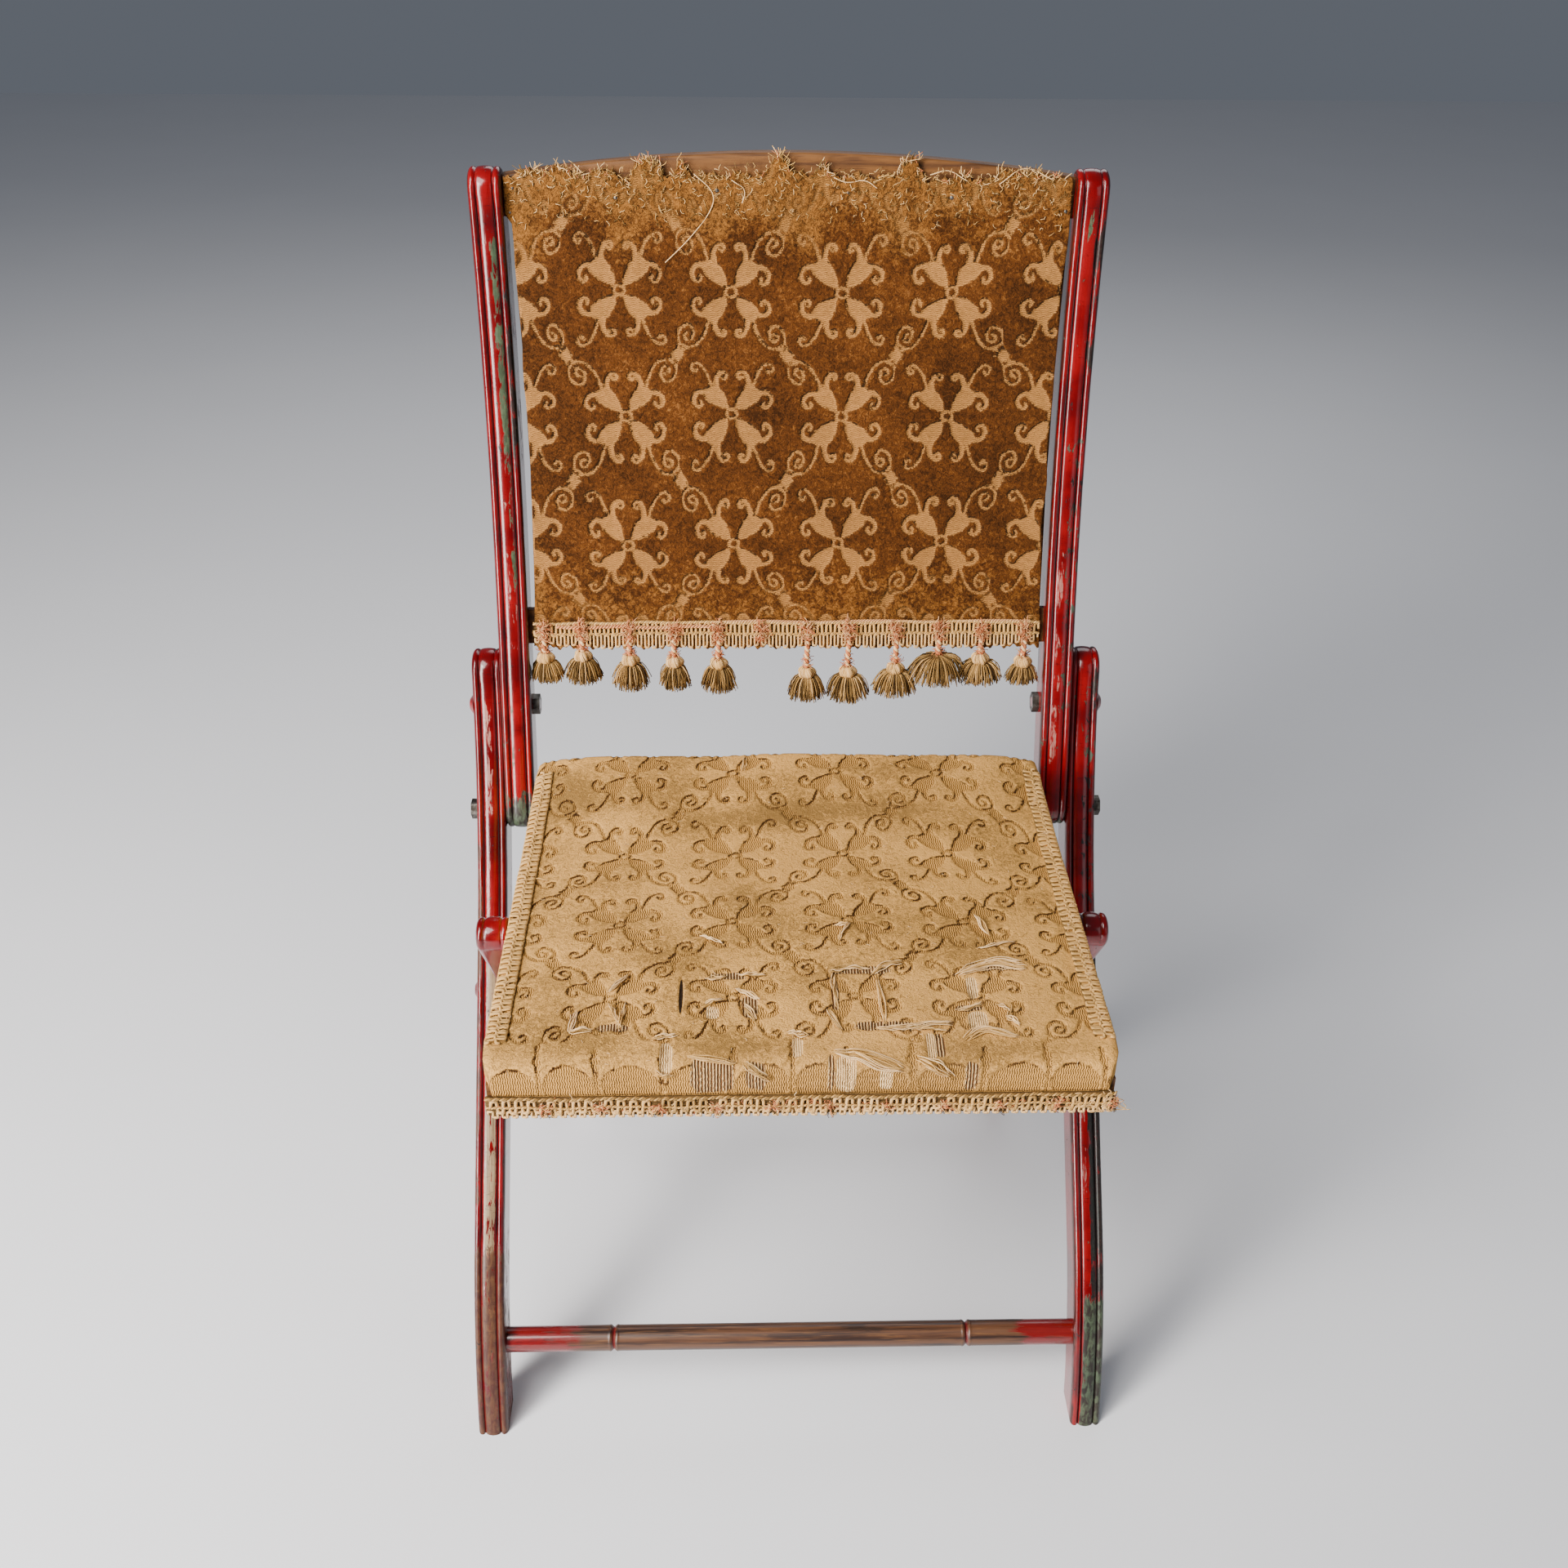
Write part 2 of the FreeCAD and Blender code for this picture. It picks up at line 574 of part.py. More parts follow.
def stretched_sheet(label, crest_depth, into, thickness):
    """Cloth pulled flat from one face of the crest rail down to the same face of the lower rail;
    a negative thickness lies in front of the rails, a positive one behind them."""
    body = new_body(label)
    lean = STILE_LEAN
    top = Vector(crest_depth, size("crest_side_top"), 0)
    crest_edge = Vector(crest_depth, CREST_BOTTOM, 0)
    rail_edge = rail_point(into, HALF_RAIL)
    low = rail_point(into, -HALF_RAIL)
    outer = [Vector(top.x + thickness, top.y, 0), Vector(crest_edge.x + thickness, crest_edge.y, 0),
             rail_edge + inward(lean, thickness), low + inward(lean, thickness)]
    outline = [top, crest_edge, rail_edge, low] + outer[::-1] + [top]
    sketch = new_sketch(body, label + "_outline", "YZ_Plane")
    draw_runs(sketch, line_chain(outline), True)
    pad = body.newObject("PartDesign::Pad", label + "_cloth")
    pad.Profile = sketch
    pad.SideType = "Symmetric"
    pad.Length = 2 * CLOTH_X
    put(body)


stretched_sheet("back_cover", CREST_FACE, RAIL_FRONT, -size("cloth_thickness"))
CREST_BACK = CREST_FACE + size("back_rail_thickness")
stretched_sheet("back_lining", CREST_BACK, RAIL_BACK, size("lining_thickness"))
BAND_BACK = RAIL_FRONT - size("cloth_thickness")
BAND_FRONT = BAND_BACK - size("band_thickness")
BAND_LOW = -HALF_RAIL - size("band_hang")
sloped_board("back_band", CLOTH_X, BAND_FRONT, BAND_BACK, BAND_LOW,
             BAND_LOW + size("band_height"))


def closed_solid(faces):
    """Solid from faces that close on each other."""
    skin = Part.makeShell(faces)
    skin.sewShape()
    solid = Part.Solid(skin)
    if solid.Volume < 0:
        solid.reverse()
    return solid


def tassel(x, top):
    """One tassel: a twisted cord, a round head and a flared skirt, six-sided throughout; the top of
    the cord is cut to the slope of the band it hangs from."""
    cord, head, skirt = size("tassel_cord_radius"), size("tassel_head_radius"), size("tassel_skirt_radius")
    neck = -size("tassel_cord_length")
    shoulder = neck - size("tassel_head_height") / 2
    waist = neck - size("tassel_head_height")
    hem = waist - size("tassel_skirt_height")
    turns = [math.radians(FULL_TURN * number / TASSEL_SIDES) for number in range(TASSEL_SIDES)]
    rings = [[Vector(out * math.cos(turn), out * math.sin(turn), up) for turn in turns]
             for out, up in ((cord, neck), (head, shoulder), (head, waist), (skirt, hem))]
    fall = math.tan(math.radians(STILE_LEAN))
    rings.insert(0, [Vector(point.x, point.y, -point.y * fall) for point in rings[0]])
    faces = [Part.Face(Part.makePolygon(rings[0] + rings[0][:1])),
             Part.Face(Part.makePolygon(rings[-1] + rings[-1][:1]))]
    for upper, lower in zip(rings, rings[1:]):
        for number in range(TASSEL_SIDES):
            after = (number + 1) % TASSEL_SIDES
            corners = [upper[number], upper[after], lower[after], lower[number], upper[number]]
            faces.append(Part.Face(Part.makePolygon(corners)))
    solid = closed_solid(faces)
    solid.translate(Vector(x, top.x - MID_DEPTH, top.y))
    return solid


def free_shape(label, shape):
    """Sub-part whose form no sketch feature gives."""
    item = doc.addObject("Part::Feature", label)
    item.Label = label
    item.Shape = shape
    SUBPARTS.append(item)
    return item


TASSEL_TOP = rail_point((BAND_FRONT + BAND_BACK) / 2, BAND_LOW)
TASSEL_X = CLOTH_X - size("tassel_inset")
TASSEL_PITCH = 2 * TASSEL_X / (size("tassel_count") - 1)
free_shape("back_tassels", Part.makeCompound([
    tassel(place * TASSEL_PITCH - TASSEL_X, TASSEL_TOP)
    for place in range(int(size("tassel_count"))) if place != int(size("lost_tassel_number"))]))


# Seat frame: two shaped side rails, front and rear rails, corner blocks, hook blocks

COVER = size("cloth_thickness")
FRAME_X = SEAT_X - COVER
FRAME_INNER = FRAME_X - size("rail_width")
FRAME_FRONT = SEAT_FRONT + size("fringe_thickness") + COVER
FRAME_BACK = SEAT_BACK - COVER
RAIL_TOP = SEAT_UNDER + size("rail_height")
NOTCH_RADIUS = size("rest_rod_radius") + size("rest_gap")


def tangent_point(point, centre, radius, side):
    """Where a line from a point touches a circle; side 1 is to the left of the way to the centre."""
    way = centre - point
    swing = side * math.acos(radius / way.Length)
    back = math.atan2(-way.y, -way.x) - swing
    return centre + Vector(math.cos(back), math.sin(back), 0) * radius


def notch_outline():
    """Half-round seat for the rest rod, with a sloping way out behind it and under the rail."""
    fall = math.radians(size("notch_fall_degrees"))
    lip = KNOB + Vector(math.sin(fall), math.cos(fall), 0) * NOTCH_RADIUS
    drop = lip.y - KNOB.y + size("overrun")
    run_out = lip + Vector(drop / math.tan(fall), -drop, 0)
    front = KNOB - Vector(NOTCH_RADIUS, 0, 0)
    return ([arc_through(front, KNOB + Vector(0, NOTCH_RADIUS, 0), lip)]
            + line_chain([lip, run_out, Vector(front.x, run_out.y, 0), front]))


def side_rail(label, x):
    """Seat side rail: a straight bar that drops to a rounded eye round the hinge rod, with a
    half-round notch and a sloping way out for the rest rod."""
    body = new_body(label)
    eye = size("rail_eye_radius")
    under = Vector(HINGE.x - size("rail_tail"), SEAT_UNDER, 0)
    over = Vector(FRAME_BACK, RAIL_TOP, 0)
    low_touch = tangent_point(under, HINGE, eye, -1)
    high_touch = tangent_point(over, HINGE, eye, 1)
    outline = line_chain([Vector(FRAME_FRONT, SEAT_UNDER, 0), under, low_touch])
    outline += [arc_through(low_touch, HINGE + Vector(eye, 0, 0), high_touch)]
    outline += line_chain([high_touch, over, Vector(FRAME_FRONT, RAIL_TOP, 0),
                           Vector(FRAME_FRONT, SEAT_UNDER, 0)])
    sketch = new_sketch(body, label + "_outline", "YZ_Plane")
    draw_runs(sketch, outline, True)
    pad_sketch(body, label + "_bar", sketch, "Sizes.rail_width", True)
    through_bore(body, label + "_eye", HINGE, "Sizes.hinge_rod_radius + Sizes.running_clearance")
    way_out = new_sketch(body, label + "_notch_outline", "YZ_Plane")
    draw_runs(way_out, notch_outline(), True)
    notch = body.newObject("PartDesign::Pocket", label + "_notch")
    notch.Profile = way_out
    notch.Type = "ThroughAll"
    notch.SideType = "Symmetric"
    put(body, x)


def hook_block(label, x):
    """Block under a side rail, just in front of the rest rod, that keeps the legs from spreading."""
    body = new_body(label)
    back = KNOB.x - NOTCH_RADIUS
    front = back - size("hook_block_length")
    low, corner = SEAT_UNDER - size("hook_block_height"), size("hook_block_round")
    bow = corner * (1 - math.cos(math.radians(RIGHT_ANGLE / 2)))
    outline = line_chain([Vector(back, SEAT_UNDER, 0), Vector(front, SEAT_UNDER, 0),
                          Vector(front, low + corner, 0)])
    outline += [arc_through(Vector(front, low + corner, 0), Vector(front + bow, low + bow, 0),
                            Vector(front + corner, low, 0))]
    outline += line_chain([Vector(front + corner, low, 0), Vector(back, low, 0),
                           Vector(back, SEAT_UNDER, 0)])
    sketch = new_sketch(body, label + "_outline", "YZ_Plane")
    draw_runs(sketch, outline, True)
    pad_sketch(body, label + "_block", sketch, "Sizes.rail_width", True)
    put(body, x)


RAIL_X = FRAME_X - size("rail_width") / 2
for side, hand in ((-1, "left"), (1, "right")):
    side_rail("seat_side_rail_" + hand, side * RAIL_X)
    hook_block("seat_hook_block_" + hand, side * RAIL_X)

for label, front in (("seat_front_rail", FRAME_FRONT), ("seat_rear_rail", FRAME_BACK - size("rail_width"))):
    rail = new_body(label)
    plain_block(rail, label + "_bar", Vector(-FRAME_INNER, front, SEAT_UNDER),
                Vector(FRAME_INNER, front + size("rail_width"), RAIL_TOP))
    put(rail)


def corner_blocks():
    """Four glued blocks, right-angled in plan, in the inside corners of the seat frame."""
    leg = size("corner_block_leg")
    low = RAIL_TOP - size("corner_block_height")
    front, back = FRAME_FRONT + size("rail_width"), FRAME_BACK - size("rail_width")
    solids = []
    for x, toward in ((-FRAME_INNER, 1), (FRAME_INNER, -1)):
        for y, inside in ((front, 1), (back, -1)):
            corners = [Vector(x, y, low), Vector(x + toward * leg, y, low),
                       Vector(x, y + inside * leg, low), Vector(x, y, low)]
            block = Part.Face(Part.makePolygon(corners)).extrude(Vector(0, 0, RAIL_TOP - low))
            block.translate(Vector(0, -MID_DEPTH, 0))
            solids.append(block)
    free_shape("seat_corner_blocks", Part.makeCompound(solids))


corner_blocks()


# Seat upholstery: webbing, crowned cushion, cloth skirt, braids and fringe

def webbing():
    """Flat straps both ways over the rails, woven into one net."""
    count, wide, thick = int(size("web_strap_count")), size("web_width"), size("web_thickness")
    straps = []
    for place in range(count):
        share = (place + 1) / (count + 1)
        x = -FRAME_X + share * 2 * FRAME_X
        y = FRAME_FRONT + share * (FRAME_BACK - FRAME_FRONT)
        straps.append(Part.makeBox(wide, FRAME_BACK - FRAME_FRONT, thick,
                                   Vector(x - wide / 2, FRAME_FRONT - MID_DEPTH, RAIL_TOP)))
        straps.append(Part.makeBox(2 * FRAME_X, wide, thick,
                                   Vector(-FRAME_X, y - wide / 2 - MID_DEPTH, RAIL_TOP)))
    net = straps[0].multiFuse(straps[1:]).removeSplitter()
    free_shape("seat_webbing", net)


webbing()
CUSHION_LOW = RAIL_TOP + size("web_thickness")
# Stations of the cushion from front to back: share of the depth, of the height and of the width
STATION_SHARES = ((0.0, 0.35, 0.96), (0.025, 0.80, 0.983), (0.075, 1.0, 1.0), (0.36, 1.0, 1.0),
                  (0.62, 1.0, 1.0), (0.93, 1.0, 1.0), (1.0, 0.45, 0.98))
CROWN_SHARES = (0.0, 0.18, 0.45, 1.0, 0.95, 0.45, 0.0)


def cushion():
    """Thin pad: crowned top between two flat margins for the braid, sides drawn in below them."""
    half = SEAT_X
    margin = size("braid_width") + size("cover_lap")
    front = SEAT_FRONT + size("fringe_thickness")
    wires = []
    for (along, tall, wide), swell in zip(STATION_SHARES, CROWN_SHARES):
        y = front + along * (SEAT_BACK - front) - MID_DEPTH
        edge = CUSHION_LOW + tall * size("cushion_edge")
        x = half * wide
        draw = x - size("cushion_draw")
        crown = edge + swell * size("cushion_crown") + size("cover_lap") / 2
        ledge = x - margin
        corners = [Vector(-draw, y, CUSHION_LOW), Vector(draw, y, CUSHION_LOW), Vector(x, y, edge),
                   Vector(ledge, y, edge), Vector(-ledge, y, edge), Vector(-x, y, edge)]
        waist = Vector(draw - size("cushion_draw") / 2, y, (CUSHION_LOW + edge) / 2)
        outline = [corners[1], waist, corners[2], corners[3]]
        others = [Vector(-point.x, point.y, point.z) for point in reversed(outline)]
        arch = Part.Arc(corners[3], Vector(0, y, crown), corners[4])
        wires.append(Part.Wire([Part.LineSegment(a, b).toShape() for a, b in zip(outline, outline[1:])]
                               + [arch.toShape()]
                               + [Part.LineSegment(a, b).toShape() for a, b in zip(others, others[1:])]
                               + [Part.LineSegment(corners[0], corners[1]).toShape()]))
    pad = Part.makeLoft(wires, True, True)
    free_shape("seat_cushion", pad)


cushion()


def seat_cover():
    """Cloth turned down over the rails on all four sides, cut open for the rod's way out and where
    the tails of the side rails pass through it."""
    half, thick = SEAT_X, COVER
    front = SEAT_FRONT + size("fringe_thickness")
    tall = CUSHION_LOW - SEAT_UNDER
    outer = Part.makeBox(2 * half, SEAT_BACK - front, tall, Vector(-half, front - MID_DEPTH, SEAT_UNDER))
    inner = Part.makeBox(2 * (half - thick), SEAT_BACK - front - 2 * thick, tall,
                         Vector(thick - half, front + thick - MID_DEPTH, SEAT_UNDER))
    edges = []
    for run in notch_outline():
        points = [Vector(-half, run[key].x - MID_DEPTH, run[key].y)
                  for key in ("start", "middle", "end") if key in run]
        edges.append((Part.Arc(*points) if run["radius"] else Part.LineSegment(*points)).toShape())
    notch = Part.Face(Part.Wire(edges)).extrude(Vector(2 * half, 0, 0))
    skin = outer.cut(inner).cut(notch)
    for left in (-FRAME_X, FRAME_INNER):
        skin = skin.cut(Part.makeBox(size("rail_width"), thick, tall,
                                     Vector(left, SEAT_BACK - thick - MID_DEPTH, SEAT_UNDER)))
    free_shape("seat_cover", skin)


seat_cover()
BRAID_LOW = CUSHION_LOW + size("cushion_edge")
for side, hand in ((-1, "left"), (1, "right")):
    braid = new_body("seat_braid_" + hand)
    near, far = SEAT_X - size("braid_width"), SEAT_X
    low, high = sorted((side * near, side * far))
    plain_block(braid, braid.Name + "_tape",
                Vector(low, SEAT_FRONT + size("fringe_thickness") + size("braid_end_inset"), BRAID_LOW),
                Vector(high, SEAT_BACK - size("braid_end_inset"), BRAID_LOW + size("braid_thickness")))
    put(braid)
fringe = new_body("seat_fringe")
plain_block(fringe, "seat_fringe_band",
            Vector(-SEAT_X, SEAT_FRONT, SEAT_UNDER),
            Vector(SEAT_X, SEAT_FRONT + size("fringe_thickness"),
                   SEAT_UNDER + size("fringe_height")))
put(fringe)


# Hardware: solids grouped by kind, each turned about a line along X

def turned_solid(steps, place, side):
    """Turned solid about a line along X through a place of the side view; side mirrors it."""
    points = [Vector(steps[0][0], 0, 0)] + [Vector(x, 0, radius) for x, radius in steps]
    points += [Vector(steps[-1][0], 0, 0), points[0]]
    kept = [points[0]]
    for point in points[1:]:
        if (point - kept[-1]).Length > size("running_clearance") / 2:
            kept.append(point)
    solid = Part.Face(Part.makePolygon(kept)).revolve(Vector(0, 0, 0), Vector(1, 0, 0), FULL_TURN)
    if side < 0:
        solid = solid.rotate(Vector(0, 0, 0), Vector(0, 0, 1), HALF_TURN)
    solid.translate(Vector(0, place.x - MID_DEPTH, place.y))
    return solid


def hex_nut(inner_x, outer_x, bore, place, side):
    """Six-sided nut between two places along X."""
    corners = [Vector(0, size("nut_radius") * math.cos(math.radians(turn)),
                      size("nut_radius") * math.sin(math.radians(turn)))
               for turn in range(0, FULL_TURN + 1, FULL_TURN // NUT_SIDES)]
    nut = Part.Face(Part.makePolygon(corners)).extrude(Vector(outer_x - inner_x, 0, 0))
    nut = nut.cut(Part.makeCylinder(bore, outer_x - inner_x, Vector(0, 0, 0), Vector(1, 0, 0)))
    nut.translate(Vector(inner_x, 0, 0))
    if side < 0:
        nut.rotate(Vector(0, 0, 0), Vector(0, 0, 1), HALF_TURN)
    nut.translate(Vector(0, place.x - MID_DEPTH, place.y))
    return nut


def headed_bolts(label, place, radius, inner_x):
    """A round-headed bolt on each side, its head on the outside of the front post."""
    outer = size("chair_width") / 2
    head, high = size("head_radius"), size("head_height")
    steps = [(inner_x, radius), (outer, radius), (outer, head), (outer + high, head / 2)]
    free_shape(label, Part.makeCompound([turned_solid(steps, place, side) for side in (-1, 1)]))


def nuts(label, place, bore, inner_x, outer_x):
    """A nut on each side."""
    free_shape(label, Part.makeCompound([
        hex_nut(inner_x, outer_x, bore, place, side) for side in (-1, 1)]))


def ring(radius, bore, inner_x, outer_x, place, side):
    """Washer or spacer on a rod or bolt."""
    disc = Part.makeCylinder(radius, outer_x - inner_x, Vector(inner_x, 0, 0), Vector(1, 0, 0))
    disc = disc.cut(Part.makeCylinder(bore, outer_x - inner_x, Vector(inner_x, 0, 0), Vector(1, 0, 0)))
    if side < 0:
        disc.rotate(Vector(0, 0, 0), Vector(0, 0, 1), HALF_TURN)
    disc.translate(Vector(0, place.x - MID_DEPTH, place.y))
    return disc


CROSS_NUT_OUTER = REAR_LEG_INNER - size("side_clearance")
headed_bolts("cross_pivot_bolts", CROSSING, size("pivot_bolt_radius"), CROSS_NUT_OUTER - size("nut_height"))
nuts("cross_pivot_nuts", CROSSING, size("pivot_bolt_radius"), CROSS_NUT_OUTER - size("nut_height"),
     CROSS_NUT_OUTER)
WASHER_INNER = LEG_INNER - size("pivot_gap") + size("side_clearance")
free_shape("cross_pivot_washers", Part.makeCompound([
    ring(size("washer_radius"), size("pivot_bolt_radius"), WASHER_INNER, LEG_INNER, CROSSING, side)
    for side in (-1, 1)]))
headed_bolts("back_bolts", BOLT_PLACE, size("bolt_radius"), STILE_INNER - size("nut_height"))
nuts("back_bolt_nuts", BOLT_PLACE, size("bolt_radius"), STILE_INNER - size("nut_height"), STILE_INNER)
nuts("seat_hinge_nuts", HINGE, size("hinge_rod_radius"), size("chair_width") / 2,
     size("chair_width") / 2 + size("nut_height"))
SPACER_INNER = FRAME_X + size("rest_gap")
free_shape("seat_hinge_spacers", Part.makeCompound([
    ring(size("spacer_radius"), size("hinge_rod_radius"), SPACER_INNER, STILE_INNER, HINGE, side)
    for side in (-1, 1)]))


# Check every feature and sub-part, then write one STEP file for each sub-part

doc.recompute()
failed = [item.Label for item in doc.Objects if {"Invalid", "Error"} & set(item.State)]
if failed:
    raise RuntimeError("features that failed: " + ", ".join(failed))
for part in SUBPARTS:
    if part.Shape.isNull() or not part.Shape.isValid():
        raise RuntimeError("no valid shape: " + part.Label)
os.makedirs("parts", exist_ok=True)
for part in SUBPARTS:
    part.Shape.exportStep("parts/%s.step" % part.Label)
print("%d sub-parts" % len(SUBPARTS))
for name, place in (("crossing pivot", CROSSING), ("seat hinge", HINGE), ("rest rod", KNOB)):
    print("%s: back %.3f, up %.3f" % (name, place.x - MID_DEPTH, place.y))
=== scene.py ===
import json
import math

import bmesh
import bpy
import numpy as np
from mathutils import Matrix, Vector


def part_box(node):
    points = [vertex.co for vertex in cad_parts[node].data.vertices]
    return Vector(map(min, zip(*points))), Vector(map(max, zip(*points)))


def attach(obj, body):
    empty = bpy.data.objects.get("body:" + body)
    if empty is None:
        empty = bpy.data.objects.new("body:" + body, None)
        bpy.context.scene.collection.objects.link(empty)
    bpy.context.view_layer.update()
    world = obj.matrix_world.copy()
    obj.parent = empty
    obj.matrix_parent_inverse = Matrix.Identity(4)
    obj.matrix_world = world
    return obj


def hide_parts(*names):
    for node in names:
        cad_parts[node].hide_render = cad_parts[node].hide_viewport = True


# Folding side chair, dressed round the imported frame. +Z is up and the chair faces -Y. Shapes are
# worked out in millimetres and go into their meshes in metres.

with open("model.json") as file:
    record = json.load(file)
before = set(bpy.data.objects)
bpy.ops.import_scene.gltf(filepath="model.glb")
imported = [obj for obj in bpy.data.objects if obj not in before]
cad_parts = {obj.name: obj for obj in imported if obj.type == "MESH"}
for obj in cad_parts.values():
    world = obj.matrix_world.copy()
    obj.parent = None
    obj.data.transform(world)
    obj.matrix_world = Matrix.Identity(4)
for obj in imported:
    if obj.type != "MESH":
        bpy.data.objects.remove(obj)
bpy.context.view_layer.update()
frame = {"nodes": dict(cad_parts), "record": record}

bl_info = {
    "name": "Folding side chair",
    "version": (1, 1, 0),
    "blender": (4, 5, 0),
    "location": "3D View > Sidebar > Chair",
    "description": "Lacquer, velvet, braid and tassels of a folding side chair",
    "category": "Object",
}

MM = 0.001


def tone(red, green, blue):
    """Linear colour from an everyday 0 to 255 one."""
    shares = np.array((red, green, blue)) / 255.0
    linear = np.where(shares <= 0.04045, shares / 12.92, ((shares + 0.055) / 1.055) ** 2.4)
    return (*(float(share) for share in linear), 1.0)


# Sizes and colours that a user would change

def length(name, description, metres):
    """A length of the sidebar, in metres."""
    return bpy.props.FloatProperty(name=name, description=description, default=metres, unit="LENGTH")


def swatch(name, description, red, green, blue):
    """A colour of the sidebar, its default an everyday 0 to 255 one."""
    return bpy.props.FloatVectorProperty(name=name, description=description, subtype="COLOR", size=4,
                                         min=0.0, max=1.0, default=tone(red, green, blue))


class ChairSizes(bpy.types.PropertyGroup):
    """Sizes of the chair's soft goods"""

    relief: length("Velvet relief", "Height of the pile over the flat motifs", 0.0011)
    crown: length("Seat crown", "Height of the stuffing over the nailed edge", 0.0105)
    arch: length("Rear arch", "How far the seat's rear edge stands up in its middle", 0.012)
    yarn: length("Loose yarn", "Radius of the yarns that hang out of the worn cloth", 0.00042)
    gimp: length("Gimp cord", "Radius of the cords in the gimp, band and braid", 0.00055)
    brush: length("Tassel brush", "Length of a tassel's cut yarns", 0.0145)


class ChairColours(bpy.types.PropertyGroup):
    """Colours of the chair's finishes"""

    lacquer: swatch("Lacquer", "Crimson lacquer of the posts", 126, 3, 8)
    lacquer_deep: swatch("Deep lacquer", "Lacquer where it is thick or stained", 74, 0, 3)
    undercoat: swatch("Undercoat", "Grey-green paint under the lacquer", 50, 70, 48)
    rubbed: swatch("Rubbed wood", "Brown wood of the lower legs and stretchers", 84, 52, 30)
    pile: swatch("Back pile", "Pile of the back's velvet", 98, 54, 18)
    motif: swatch("Back motif", "Flat motifs of the back's velvet", 190, 132, 70)
    seat_pile: swatch("Seat pile", "Faded pile of the seat", 222, 166, 88)
    seat_motif: swatch("Seat motif", "Flat motifs of the seat", 202, 148, 76)
    straw: swatch("Straw yarn", "Yarn of the gimp, band and braids", 204, 158, 92)
    salmon: swatch("Salmon yarn", "Yarn of the tassel cords and knots", 196, 116, 72)
    brush: swatch("Tassel yarn", "Cut yarn of the tassels", 116, 88, 46)
    lining: swatch("Lining", "Cloth behind the back", 118, 92, 60)
    floor: swatch("Floor", "Floor of the studio", 226, 226, 229)


# Values and finishes: arithmetic on shader sockets

class Value:
    """One output of a material's nodes; arithmetic on it adds Math nodes."""

    def __init__(self, finish, socket):
        self.finish = finish
        self.socket = socket

    def maths(self, operation, *numbers):
        """A Math node of this operation with these inputs in order."""
        return self.finish.node("Math", {"operation": operation}, dict(enumerate(numbers)))

    def __add__(self, other):
        return self.maths("ADD", self, other)

    def __sub__(self, other):
        return self.maths("SUBTRACT", self, other)

    def __rsub__(self, other):
        return self.maths("SUBTRACT", other, self)

    def __mul__(self, other):
        return self.maths("MULTIPLY", self, other)

    __radd__ = __add__
    __rmul__ = __mul__

    def most(self, other):
        """The larger of two values."""
        return self.maths("MAXIMUM", self, other)

    def size(self):
        """The value without its sign."""
        return self.maths("ABSOLUTE", self)

    def wave(self):
        """Sine of the value."""
        return self.maths("SINE", self)

    def rise(self, low, high):
        """Smooth step from 0 at low to 1 at high; low may lie above high."""
        ends = {"Value": self, "From Min": low, "From Max": high}
        return self.finish.node("MapRange", {"interpolation_type": "SMOOTHSTEP"}, ends)


